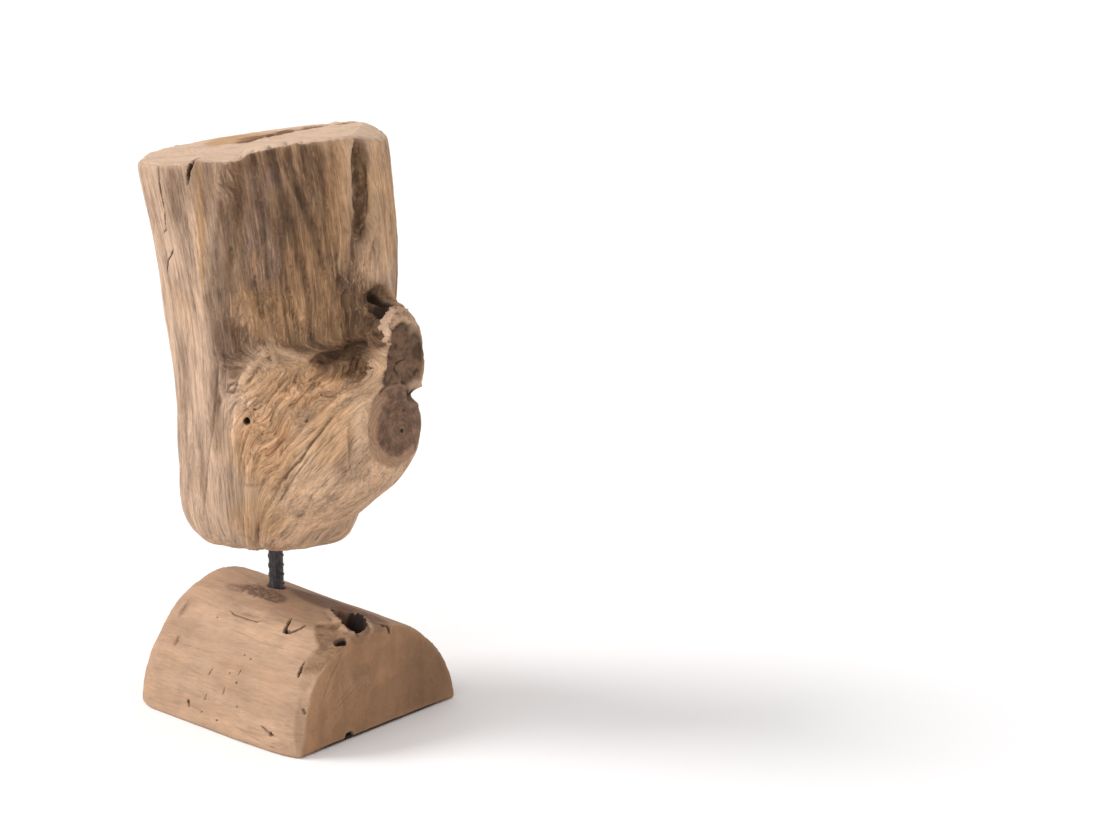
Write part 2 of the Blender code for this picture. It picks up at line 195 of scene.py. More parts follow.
DRIFT_RIDGES = {
    "ridge down the front": (((-35, -76, 440), (-35, -76, 397), (-36, -74, 336), (-34, -73, 300)), 9.0, 2.0),
    "shelf": (((-13, -76, 262), (-4, -77, 273), (6, -77, 284), (11, -76, 292)), 5.0, 3.2),
    "shelf's end": (((16, -76, 276), (13, -76, 288), (10, -76, 296)), 3.5, 2.2),
    "lip over the hollow": (((34, -72, 284), (52, -67, 292), (70, -58, 300), (84, -52, 306)), 8.0, 1.4),
    "ridge beside the pocket": (((63, -66, 446), (65, -62, 410), (67, -60, 375), (66, -62, 350)), 4.0, 2.4),
    "right of the pocket": (((88, -38, 434), (89, -38, 402), (86, -44, 374), (80, -52, 350)), 4.0, 1.6),
    "ridge along the groove": (((52, -88, 232), (42, -88, 213), (32, -87, 196), (22, -83, 176)), 6.0, 1.4),
    "rim of the groove": (
        ((50, -78, 246), (40, -80, 234), (30, -82, 218), (20, -80, 200), (10, -76, 182)), 4.0, 1.8),
    "flare to the stub": (((76, -92, 236), (62, -95, 217), (48, -92, 197), (38, -86, 176)), 9.0, 1.2),
    "tongue": (((-10, -75, 213), (-7, -76, 205), (-6, -75, 194)), 4.0, 2.6),
    "shoulder": (((2, -77, 262), (-6, -76, 254), (-8, -76, 247)), 7.0, 2.2),
    "torn edge, left": (((-12, -76, 252), (-14, -75, 240), (-16, -74, 226), (-14, -74, 212)), 3.0, 2.2),
    "left cheek": (((-24, -72, 282), (-26, -72, 268), (-27, -71, 250)), 3.5, 1.6),
    "rough rib 1": (((66, -76, 268), (50, -74, 264), (36, -74, 258), (22, -75, 252)), 3.4, 2.0),
    "rough rib 2": (((74, -80, 264), (60, -78, 254), (48, -80, 243)), 3.0, 1.8),
    "rough rib 3": (((18, -75, 238), (10, -76, 230), (2, -76, 220)), 3.2, 1.8),
    "rough rib 4": (((30, -80, 222), (20, -79, 210), (10, -77, 200)), 3.2, 1.6),
    "rough rib 5": (((12, -76, 250), (16, -76, 240), (14, -76, 230)), 2.8, 1.6),
    "light arc over the stub": (
        ((87, -93, 254), (92, -86, 263), (99, -80, 263), (105, -73, 258), (111, -66, 252)), 1.8, 1.0),
    "knot": (((86, -68, 305), (92, -69, 305)), 5.0, 2.4),
    "block before the crack": (((-8, 0, 431), (8, 12, 433), (21, 27, 435), (36, 44, 437)), 13.0, 0.8),
    "strip behind the slot": (((40, 74, 440), (60, 74, 441), (70, 66, 442)), 7.0, 1.2),
}
# The ragged rim that curls over the lobe.
CURL = (
    (98, -79, 290), (96, -76, 295), (96, -73, 301), (94, -71, 304), (96, -67, 308), (98, -61, 313),
    (102, -56, 315), (108, -52, 313),
)
# Where the lobe's brown end grain meets that rim and runs down to the stub.
LOBE_EDGE = (
    (95, -81, 267), (99, -79, 276), (101, -76, 285), (102, -74, 293), (102, -73, 300), (105, -70, 304),
    (108, -67, 305),
)
# The middle line of the torn patch, which is meshed finely.
TORN_MIDDLE = ((-2, -76, 200), (8, -76, 235), (36, -74, 256), (72, -68, 270))
# Round holes with painted shade inside them, and dark spots that hardly sink, which are stains or painted
# shadow: middle, radius, depth and how dark they are.
DRIFT_HOLES = {
    "worm hole": ((-7, -76, 236), 2.6, 6.0, 0.9),
    "small hole": ((-1, -76, 245), 1.4, 1.6, 0.35),
    "pith": ((106, -73, 228), 1.5, 4.0, 0.9),
    "check in the stub": ((99, -84, 244), 2.2, 0.8, 0.25),
    "second check in the stub": ((108, -71, 243), 2.0, 0.8, 0.25),
    "hole by the swirl": ((36, -75, 236), 1.4, 1.6, 0.4),
    "back hole": ((20, 80, 300), 2.6, 6.0, 1.0),
    "stain on the lobe": ((119, -54, 283), 7.5, 0.6, 0.4),
    # A painted shadow over the hollow behind the lobe.
    "dark of the hollow": ((91, -52, 314), 8.5, 1.0, 0.95),
}
# Rough, fibrous places: middle, half sizes and strength.
DRIFT_ROUGH = (
    ((6, -76, 226), (28, 26, 36), 1.0),
    ((32, -72, 256), (36, 24, 16), 0.9),
    ((78, -62, 274), (18, 22, 14), 0.8),
    ((0, -76, 268), (16, 20, 26), 0.6),
    ((-17, -77, 408), (10, 14, 18), 0.6),
    ((20, -76, 312), (44, 26, 26), 0.45),
    ((72, -56, 340), (22, 24, 36), 0.5),
    ((8, -76, 352), (18, 20, 22), 0.3),
    ((104, -60, 262), (16, 20, 8), 0.5),
    ((0, -68, 150), (26, 20, 18), 0.35),
)
# Stains: which colour, middle, half sizes and strength.
DRIFT_STAINS = (
    ("brown", (22, -80, 404), (50, 44, 60), 0.9),
    ("brown", (34, -72, 340), (54, 44, 52), 0.8),
    ("brown", (55, -50, 310), (44, 40, 34), 0.85),
    ("brown", (84, -56, 300), (20, 30, 20), 0.7),
    # Painted shade in the hollow left of the curl's foot, laid on as a brown stain.
    ("brown", (89, -74, 298), (9, 12, 9), 1.0),
    ("brown", (-24, -76, 318), (14, 20, 50), 0.5),
    ("brown", (-16, -76, 290), (14, 20, 24), 0.7),
    ("brown", (-34, -74, 410), (10, 20, 34), 0.35),
    ("brown", (-50, -70, 400), (12, 20, 30), 0.25),
    ("brown", (66, -90, 206), (10, 14, 16), 0.3),
    ("brown", (84, -10, 310), (20, 50, 30), 0.4),
    ("brown", (77, -47, 412), (8, 16, 36), 1.0),
    ("brown", (77, -52, 376), (6, 12, 14), 0.7),
    ("brown", (60, -62, 274), (24, 20, 12), 0.8),
    ("brown", (50, -68, 293), (30, 20, 9), 1.0),
    ("brown", (66, -60, 302), (26, 24, 14), 0.9),
    ("brown", (64, -56, 330), (16, 20, 20), 0.5),
    ("brown", (-30, -72, 240), (6, 12, 50), 0.35),
    ("brown", (-58, -50, 250), (5, 14, 60), 0.3),
    ("brown", (-44, -64, 190), (4, 12, 40), 0.35),
    ("brown", (-66, -44, 200), (22, 40, 60), 0.2),
    ("brown", (-57, -52, 296), (16, 20, 44), 0.2),
    ("brown", (78, -48, 366), (14, 22, 26), 0.35),
    ("brown", (66, -62, 367), (9, 14, 30), 0.35),
    ("brown", (48, -71, 396), (12, 14, 34), 0.4),
    ("brown", (-11, -77, 369), (14, 14, 28), 0.35),
    ("brown", (-62, -56, 400), (18, 40, 50), 0.15),
    ("brown", (10, -76, 300), (40, 20, 14), 0.4),
    ("brown", (20, 84, 330), (60, 40, 90), 0.45),
    ("brown", (90, 20, 350), (30, 40, 60), 0.3),
    ("grey", (19, -80, 413), (10, 12, 12), 0.8),
    ("grey", (4, -78, 392), (12, 14, 40), 0.7),
    ("grey", (8, -75, 352), (16, 16, 30), 1.0),
    ("grey", (28, -78, 394), (7, 10, 14), 0.5),
    ("grey", (-24, -74, 282), (14, 16, 40), 0.7),
    ("grey", (-22, -76, 366), (10, 12, 30), 0.6),
    ("grey", (-50, -58, 200), (16, 20, 50), 0.35),
    ("grey", (-18, -74, 180), (20, 20, 24), 0.35),
    ("grey", (-40, -60, 240), (14, 20, 40), 0.3),
    ("grey", (52, -96, 206), (12, 14, 10), 0.4),
    ("grey", (-30, 80, 300), (40, 30, 80), 0.5),
    ("gold", (-35, -76, 380), (4, 12, 58), 1.0),
    ("gold", (61, -66, 396), (9, 12, 50), 1.0),
    ("gold", (46, -72, 350), (10, 14, 40), 0.6),
    ("gold", (30, -74, 345), (8, 14, 34), 0.6),
    ("gold", (93, -18, 394), (14, 34, 50), 0.9),
    ("gold", (2, -76, 351), (3, 8, 9), 0.9),
    ("gold", (-60, -50, 320), (26, 30, 20), 0.3),
    ("gold", (6, -76, 215), (30, 20, 34), 0.6),
    ("gold", (56, -90, 232), (20, 20, 26), 0.5),
    ("gold", (30, -72, 262), (40, 20, 16), 0.6),
    ("gold", (-4, -74, 160), (26, 20, 20), 0.5),
    ("gold", (20, -76, 318), (40, 20, 20), 0.5),
    ("pale", (-19, -77, 409), (9, 12, 14), 0.35),
    ("pale", (6, -77, 283), (7, 10, 12), 1.0),
    ("pale", (-4, -76, 260), (10, 12, 14), 0.9),
    ("pale", (-6, -76, 208), (4, 10, 12), 1.0),
    ("pale", (3, -76, 195), (12, 12, 6), 0.5),
    ("pale", (74, -56, 340), (14, 22, 26), 0.15),
    ("pale", (92, -84, 204), (14, 18, 9), 0.8),
    ("pale", (36, -72, 256), (30, 20, 8), 0.7),
    ("pale", (66, -78, 258), (16, 20, 8), 0.6),
    ("pale", (86, -95, 236), (5, 9, 26), 0.7),
    ("pale", (14, -76, 240), (12, 12, 12), 0.4),
    ("pale", (116, -60, 258), (8, 10, 6), 1.0),
    ("pale", (116, -58, 301), (5, 8, 9), 0.4),
    ("pale", (24, -80, 190), (14, 14, 14), 0.4),
    ("pale", (-58, -60, 356), (12, 20, 26), 0.5),
    ("top gold", (-24, 34, 430), (36, 26, 12), 1.0),
    ("top gold", (-6, 56, 432), (20, 20, 12), 0.8),
    ("top gold", (60, 20, 438), (30, 14, 12), 0.3),
    ("top gold", (-30, 60, 430), (26, 20, 12), 1.0),
    ("top brown", (-14, 40, 431), (15, 12, 14), 0.8),
    ("top brown", (2, 35, 434), (16, 16, 14), 1.0),
    ("top brown", (-12, 20, 432), (14, 10, 12), 1.0),
    ("top brown", (14, 52, 436), (14, 14, 14), 1.0),
    ("top brown", (30, 66, 438), (14, 8, 14), 1.0),
    ("top brown", (52, 60, 440), (10, 5, 12), 1.0),
)

# The log, in the row's own frame.
# Grooves and cracks in the log: the line they follow, half width, depth, and how dark they are; the darkness
# is painted shade in them.
LOG_GROOVES = {
    "crack, left arm": (((53, -33, 80), (57, -42, 76), (60, -48, 73)), 1.5, 6.0, 1.0),
    "crack, right arm": (((61, -47, 73), (66, -44, 75), (70, -39, 77), (71, -34, 79)), 1.5, 5.0, 0.9),
    "crack, its mouth": (((59, -45, 74), (64, -45, 74)), 2.6, 4.0, 0.8),
    "flake": (
        ((-6, -43, 76), (2, -46, 75), (13, -46, 75), (20, -46, 75), (28, -45, 74),
         (34, -41, 76)), 1.0, 1.0, 0.6),
    "flake's bed": (((-2, -40, 77), (12, -42, 76), (28, -40, 76)), 5.0, 0.8, 0.0),
    "crack at the edge": (((99, -62, 65), (100, -66, 60), (102, -72, 55)), 1.1, 4.0, 0.9),
    "crack in the end": (((118, 3, 81), (118, 5, 76), (118, 7, 71)), 1.2, 3.0, 0.8),
    "cavity at the corner": (
        ((70, 2, 82), (80, -5, 82), (92, -10, 82), (103, -15, 82), (112, -21, 82),
         (119, -25, 80)), 7.5, 17.0, 1.0),
    "cavity, its deep end": (((86, -8, 82), (110, -20, 82)), 7.5, 10.0, 1.0),
    "seam behind the cavity": (((112, -8, 81), (116, -2, 81), (119, 5, 79)), 2.0, 3.0, 0.8),
    "hollow above the cavity": (((60, 6, 82), (80, 2, 82), (96, 2, 82)), 9.0, 2.0, 0.15),
    "tick 1": (((34, -85, 35), (35, -87, 29)), 0.64, 1.35, 0.38),
    "tick 2": (((15, -79, 44), (13, -82, 38)), 0.64, 1.35, 0.38),
    "tick 3": (((44, -76, 49), (43, -79, 44)), 0.56, 1.17, 0.34),
    "tick 4": (((-49, -47, 75), (-47, -57, 68), (-46, -60, 64)), 1.12, 0.81, 0.17),
    "tick 5": (((-36, -69, 55), (-34, -75, 49)), 0.96, 0.9, 0.21),
    "tick 6": (((80, -91, 18), (90, -91, 14), (96, -90, 13)), 1.04, 1.62, 0.34),
    "tick 7": (((-1, -90, 18), (0, -92, 12)), 0.96, 1.8, 0.38),
    "tick 8": (((18, -88, 27), (17, -90, 21)), 0.64, 1.26, 0.34),
    "nick in the edge": (((115, -80, 37), (117, -79, 32)), 1.8, 1.6, 0.35),
    "seam in the end": (
        ((118, -41, 72), (118, -47, 62), (118, -54, 54), (118, -59, 44), (118, -64, 36)), 1.6, 0.6, 0.16),
    "streak in the end 1": (((118, -65, 21), (118, -44, 31), (118, -21, 43)), 0.9, 0.4, 0.1),
    "streak in the end 2": (((118, -69, 32), (118, -52, 45), (118, -36, 56)), 0.9, 0.4, 0.1),
    "streak in the end 3": (((118, -60, 24), (118, -30, 44)), 0.9, 0.4, 0.1),
    "worn line 1": (((-40, -80, 40), (-10, -82, 38), (30, -84, 34)), 1.2, 0.5, 0.1),
    "worn line 2": (((-50, -72, 52), (-20, -74, 52), (10, -74, 52)), 1.4, 0.5, 0.1),
    "worn line 3": (((10, -56, 68), (50, -58, 66), (86, -56, 66)), 1.2, 0.5, 0.1),
    "worn line 4": (((40, -90, 12), (80, -90, 6), (104, -86, 4)), 1.2, 0.6, 0.1),
    # Painted contact shadow: a dark line along the foot of the sawn end, where the log meets the floor; the
    # points there hardly sink.
    "gap under the end": (((119, -84, 0), (119, -30, 0), (119, 30, 0), (119, 76, 0)), 1.7, 1.2, 0.9),
    "back check 1": (((-50, 70, 40), (0, 68, 44), (60, 70, 42)), 1.4, 2.0, 0.6),
    "back check 2": (((-62, 10, 60), (-62, 0, 30), (-62, -6, 8)), 1.2, 3.0, 0.8),
}
# Holes and pits in the log: middle, radius, depth and how dark they are; the darkness is painted shade inside
# them.
LOG_HOLES = {
    "knot hole": ((111, -38, 74), 4.8, 6.0, 1.0),
    # Painted shade in a notch at the foot of the sawn end, beside the painted contact shadow.
    "notch under the end": ((119, -37, 0), 5.0, 6.0, 1.0),
    "throat of the cavity": ((97, -13, 81), 8.0, 5.0, 1.0),
    "throat, its far side": ((108, -18, 80), 7.0, 4.0, 1.0),
    "pit 1": ((33, -92, 10), 1.0, 1.2, 0.5),
    "pit 2": ((15, -92, 12), 1.0, 1.2, 0.5),
    "pit 3": ((45, -82, 40), 1.1, 1.2, 0.6),
    "pit 4": ((34, -79, 44), 0.9, 1.0, 0.4),
    "pit 5": ((48, -70, 56), 1.0, 1.0, 0.5),
    "pit 6": ((40, -69, 57), 0.9, 0.8, 0.4),
    "pit 7": ((53, -89, 25), 0.9, 0.8, 0.4),
    "pit 8": ((91, -91, 14), 1.8, 2.0, 0.8),
    "pit 9": ((-10, -52, 71), 0.9, 0.8, 0.4),
    "pit 10": ((-1, -91, 16), 1.6, 2.0, 0.9),
}
# The edge between the side and the end is broken away between these pairs of places.
LOG_CHIP = (
    ((80, -10, 83), (116, -28, 81)),
    ((87, -23, 82), (118, -36, 79)),
    ((93, -36, 78), (118, -43, 72)),
    ((96, -46, 74), (118, -51, 69)),
    ((98, -55, 69), (117, -58, 65)),
    ((100, -62, 64), (116, -62, 62)),
    ((105, -68, 59), (118, -68, 56)),
    ((110, -76, 49), (118, -75, 45)),
    ((112, -80, 40), (118, -77, 36)),
    ((112, -83, 33), (118, -80, 27)),
    ((113, -86, 20), (118, -82, 14)),
    ((114, -88, 4), (118, -85, 2)),
)
LOG_ROUGH = (
    ((-2, -16, 84), (30, 11, 10), 1.0),
    ((108, -44, 74), (16, 18, 14), 1.0),
    ((110, -64, 60), (10, 10, 18), 0.7),
    ((100, -8, 80), (20, 14, 10), 0.6),
)
LOG_STAINS = (
    ("bark", (0, -16, 84), (26, 9, 10), 0.75),
    ("bark", (-24, -22, 84), (14, 6, 8), 0.55),
    ("bark", (20, -18, 84), (12, 8, 8), 0.6),
    ("bark", (60, 8, 82), (56, 18, 12), 1.0),
    ("bark", (108, -2, 80), (18, 14, 8), 0.6),
    ("bark", (-47, -54, 69), (5, 10, 10), 0.45),
    ("bark", (-35, -72, 51), (4, 6, 8), 0.4),
    ("bark", (0, 60, 40), (50, 20, 20), 0.3),
    ("shade", (-40, -60, 60), (30, 30, 20), 0.4),
    ("shade", (34, -80, 42), (24, 12, 16), 0.35),
    ("shade", (118, 50, 30), (8, 40, 40), 1.0),
    ("shade", (118, 20, 60), (8, 30, 20), 0.25),
    ("shade", (118, -24, 51), (6, 12, 7), 0.45),
    ("shade", (60, -30, 80), (40, 8, 6), 0.3),
    ("light", (60, -52, 70), (40, 14, 14), 0.8),
    ("light", (0, -52, 70), (60, 18, 14), 0.8),
    ("light", (70, -90, 14), (50, 8, 14), 0.5),
    ("light", (104, -66, 58), (10, 12, 18), 0.1),
    ("light", (118, -74, 30), (8, 9, 30), 1.0),
    ("light", (118, -62, 48), (8, 9, 18), 0.8),
)

# Fixed tables for the noise: a shuffled order and the twelve directions of its slopes.
SHUFFLE = np.tile(np.random.default_rng(11).permutation(256), 2)
SLOPES = np.array([
    (1, 1, 0), (-1, 1, 0), (1, -1, 0), (-1, -1, 0), (1, 0, 1), (-1, 0, 1),
    (1, 0, -1), (-1, 0, -1), (0, 1, 1), (0, -1, 1), (0, 1, -1), (0, -1, -1),
], float)


def unit(rows):
    """The rows, each made one long."""
    return rows / np.linalg.norm(rows, axis=1)[:, None]


def noise(points, seed=0):
    """Smooth noise from about -1 to 1 at rows of points, with lumps about one unit apart."""
    cell = np.floor(points).astype(int)
    part = points - cell
    ease = part**3 * (part * (part * 6 - 15) + 10)
    total = np.zeros(len(points))
    for corner in np.ndindex(2, 2, 2):
        place = (cell + corner) & 255
        first = SHUFFLE[(place[:, 0] + seed) & 255]
        second = SHUFFLE[(first + place[:, 1]) & 255]
        picked = SHUFFLE[(second + place[:, 2]) & 255]
        height = np.einsum("ij,ij->i", SLOPES[picked % 12], part - corner)
        share = np.prod(np.where(corner, ease, 1 - ease), axis=1)
        total += share * height
    return total


def layered(points, layers, seed=0):
    """Noise over noise, each layer twice as fine and half as deep."""
    return sum(noise(points * 2**i + 17.3 * i, seed + i) / 2**i for i in range(layers))


def eased(value):
    """0 below 0, 1 above 1, and a smooth rise between."""
    value = np.clip(value, 0, 1)
    return value * value * (3 - 2 * value)


def beside(points, line):
    """How far each point is from a bent line, and what share of the line's way its nearest place is."""
    stops = np.array(line, float)
    steps = np.linalg.norm(np.diff(stops, axis=0), axis=1)
    gone = np.concatenate(((0.0,), np.cumsum(steps)))
    gap, share = np.full(len(points), 1e9), np.zeros(len(points))
    for i, (start, end) in enumerate(zip(stops, stops[1:])):
        run = end - start
        part = np.clip((points - start) @ run / (run @ run), 0, 1)
        away = np.linalg.norm(points - start - part[:, None] * run, axis=1)
        nearer = away < gap
        gap[nearer] = away[nearer]
        share[nearer] = (gone[i] + part[nearer] * steps[i]) / gone[-1]
    return gap, share


def inside(points, middle, halves):
    """1 at the middle of an egg shape, falling to 0 a little outside it."""
    reach = np.linalg.norm((points - np.array(middle, float)) / np.array(halves, float), axis=1)
    return 1 - eased((reach - 0.45) / 0.8)


def drawn_on(piece, turned, line, step=3.5):
    """The line, in millimetres of the turned frame, laid onto the nearest places of the piece's surface."""
    stops = [Vector(stop) for stop in line]
    laid = []
    for start, end in zip(stops, stops[1:]):
        parts = max(1, round((end - start).length / step))
        laid += [start.lerp(end, i / parts) for i in range(parts)]
    laid.append(stops[-1])
    back = turned.T
    found = [piece.closest_point_on_mesh(Vector(back @ np.array(stop)) * MM)[1] / MM for stop in laid]
    return [tuple(turned @ np.array(stop)) for stop in found]


class Surface:
    """A mesh's points as rows of millimetres, with what is needed to wear and paint them."""

    def __init__(self, piece, turn=0.0):
        self.piece = piece
        across, up = math.cos(turn), math.sin(turn)
        self.turned = np.array(((across, up, 0), (-up, across, 0), (0, 0, 1)))
        mesh = piece.data
        flat = np.empty(len(mesh.vertices) * 3, np.float32)
        mesh.vertices.foreach_get("co", flat)
        self.points = flat.reshape(-1, 3).astype(float) / MM @ self.turned.T
        pairs = np.empty(len(mesh.edges) * 2, np.int32)
        mesh.edges.foreach_get("vertices", pairs)
        self.pairs = pairs.reshape(-1, 2)
        self.count = len(self.points)
        self.ends = np.bincount(self.pairs.ravel(), minlength=self.count).clip(1)[:, None]

    def normals(self):
        mesh = self.piece.data
        flat = np.empty(len(mesh.vertices) * 3, np.float32)
        mesh.vertices.foreach_get("normal", flat)
        return flat.reshape(-1, 3).astype(float) @ self.turned.T

    def averaged(self, values):
        a, b = self.pairs.T
        rows = [
            np.bincount(a, row[b], self.count) + np.bincount(b, row[a], self.count)
            for row in np.atleast_2d(values.T)
        ]
        return np.stack(rows, axis=1) / self.ends

    def smoothed(self, values, rounds):
        for _ in range(rounds):
            values = 0.5 * values + 0.5 * self.averaged(values)
        return values

    def relax(self, rounds, hold):
        """Wears facets off without shrinking the shape; hold is 0 where a point stays where it is."""
        for step in range(rounds * 2):
            pull = 0.55 if step % 2 == 0 else -0.57
            self.points = self.points + pull * hold * (self.averaged(self.points) - self.points)

    def store(self):
        mesh = self.piece.data
        flat = (self.points @ self.turned * MM).astype(np.float32)
        mesh.vertices.foreach_set("co", flat.ravel())
        mesh.update()
        self.piece.update_tag(refresh={"DATA"})
        bpy.context.view_layer.update()

    def paint(self, name, values):
        """Keeps one number, or one row of three, for each point under that name."""
        kind, key = ("FLOAT_VECTOR", "vector") if values.ndim == 2 else ("FLOAT", "value")
        layer = self.piece.data.attributes.new(name, kind, "POINT")
        layer.data.foreach_set(key, values.astype(np.float32).ravel())


def select_only(piece):
    bpy.ops.object.select_all(action="DESELECT")
    piece.select_set(True)
    bpy.context.view_layer.objects.active = piece


def apply_modifier(piece, kind, **settings):
    select_only(piece)
    modifier = piece.modifiers.new(kind.title(), kind)
    for name, value in settings.items():
        setattr(modifier, name, value)
    bpy.ops.object.modifier_apply(modifier=modifier.name)


def even_copy(node, name, step):
    """A copy of a CAD node, merged and meshed evenly with faces about step across."""
    piece = bpy.data.objects.new(name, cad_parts[node].data.copy())
    bpy.context.scene.collection.objects.link(piece)
    piece.data.materials.clear()
    select_only(piece)
    bpy.ops.object.mode_set(mode="EDIT")
    bpy.ops.mesh.select_all(action="SELECT")
    bpy.ops.mesh.remove_doubles(threshold=0.00001)
    bpy.ops.object.mode_set(mode="OBJECT")
    apply_modifier(piece, "REMESH", mode="VOXEL", voxel_size=step, use_smooth_shade=True)
    return piece


def lighten(piece, most):
    """Takes faces away where the shape is plain, until the piece has at most that many triangles."""
    triangles = sum(len(face.vertices) - 2 for face in piece.data.polygons)
    if triangles > most:
        apply_modifier(piece, "DECIMATE", ratio=most / triangles)


def refine(piece, turn, lines, rounds=1):
    """Cuts the faces near each line in four, so that it can hold a fine crack."""
    for _ in range(rounds):
        surface = Surface(piece, turn)
        near = np.zeros(surface.count, bool)
        for line, reach in lines:
            near |= beside(surface.points, line)[0] < reach
        grid = bmesh.new()
        grid.from_mesh(piece.data)
        grid.verts.ensure_lookup_table()
        edges = [edge for edge in grid.edges if near[edge.verts[0].index] and near[edge.verts[1].index]]
        bmesh.ops.subdivide_edges(grid, edges=edges, cuts=1, use_grid_fill=True)
        grid.to_mesh(piece.data)
        grid.free()


def carve(surface, grooves, ridges, holes):
    """How far each point sinks, and how dark it is painted, mostly as shade inside grooves and holes, from
    every groove, ridge and hole.
    """
    points, piece, turned = surface.points, surface.piece, surface.turned
    sunk, dark = np.zeros(surface.count), np.zeros(surface.count)
    wander = layered(points / 8.0, 3, seed=40)
    for line, half, depth, darkness in grooves.values():
        near = near_line(points, line, half * 1.6 + 9)
        gap, share = beside(points[near], drawn_on(piece, turned, line))
        gap = gap + wander[near] * min(half * 0.5, 1.5)
        ends = np.minimum(eased(share / 0.18), eased((1 - share) / 0.18))
        wall = np.clip(1 - gap / (half * (0.45 + 0.55 * ends)), 0, 1)
        lip = np.clip(1 - np.abs(gap / half - 1.25) / 0.6, 0, 1) * 0.12
        profile = wall**0.85 if depth < DEEP else eased(wall * 2.0)
        sunk[near] += depth * (profile * (0.3 + 0.7 * ends) - lip * ends)
        if depth > DEEP:
            wall = np.clip(1.15 - gap / half, 0, 1) * 5
        shadow = darkness * eased(wall * (1.2 + 2.2 * darkness)) * (0.3 + 0.7 * ends)
        dark[near] = np.maximum(dark[near], shadow)
    for line, half, height in ridges.values():
        near = near_line(points, line, half * 1.6 + 9)
        gap, share = beside(points[near], drawn_on(piece, turned, line))
        gap = gap + wander[near] * half * 0.35
        ends = np.minimum(eased(share / 0.2), eased((1 - share) / 0.2))
        sunk[near] -= height * (1 - eased(gap / half)) * ends
    for middle, radius, depth, darkness in holes.values():
        laid = drawn_on(piece, turned, (middle, np.add(middle, 0.01)))[0]
        gap = np.linalg.norm(points - np.array(laid), axis=1) + wander * radius * 0.15
        sunk += depth * (1 - eased((gap / radius - 0.5) / 0.6))
        dark = np.maximum(dark, darkness * (1 - eased((gap / radius - 0.7) / 0.5)))
    return sunk, dark


def spot(middle):
    """A line so short that it is a spot."""
    return middle, np.add(middle, 0.1)


def near_line(points, line, reach):
    """Which points lie in the box round a line, grown by reach."""
    stops = np.array(line, float)
    return ((points > stops.min(axis=0) - reach) & (points < stops.max(axis=0) + reach)).all(axis=1)


def shading(surface, rounds, scale):
    """How hollow, to 1, or proud, to -1, each point lies among its neighbours; scale mm is all of it."""
    normals = surface.smoothed(surface.normals(), 2)
    lift = surface.smoothed(surface.points, rounds) - surface.points
    return np.clip(np.einsum("ij,ij->i", lift, normals) / scale, -1, 1)


def stain(points, stains, colour):
    """How strongly the stains of one colour cover each point."""
    clear = [
        1 - strength * inside(points, middle, halves)
        for name, middle, halves, strength in stains if name == colour
    ]
    return np.clip(1 - np.prod(clear, axis=0), 0, 1)


def clear_bar_hole(points, over):
    """Moves the points in the bar's hole, where over is true, clear of the bar."""
    from_axis = np.linalg.norm(points[:, :2], axis=1)
    tight = (from_axis < BAR_HOLE_RADIUS) & over
    points[:, :2] *= np.where(tight, BAR_HOLE_RADIUS / np.maximum(from_axis, 0.1), 1)[:, None]


class Number:
    """A value socket that can be added, multiplied and compared; each sum adds a Math node."""

    def __init__(self, finish, socket):
        self.finish, self.socket = finish, socket

    def sum(self, operation, first, second):
        return self.finish.node("ShaderNodeMath", {"operation": operation}, {0: first, 1: second})

    def __add__(self, other):
        return self.sum("ADD", self, other)

    def __radd__(self, other):
        return self.sum("ADD", other, self)

    def __sub__(self, other):
        return self.sum("SUBTRACT", self, other)

    def __rsub__(self, other):
        return self.sum("SUBTRACT", other, self)

    def __mul__(self, other):
        return self.sum("MULTIPLY", self, other)

    def __rmul__(self, other):
        return self.sum("MULTIPLY", other, self)

    def wave(self):
        """Rises and falls between -1 and 1."""
        return self.finish.node("ShaderNodeMath", {"operation": "SINE"}, {0: self})


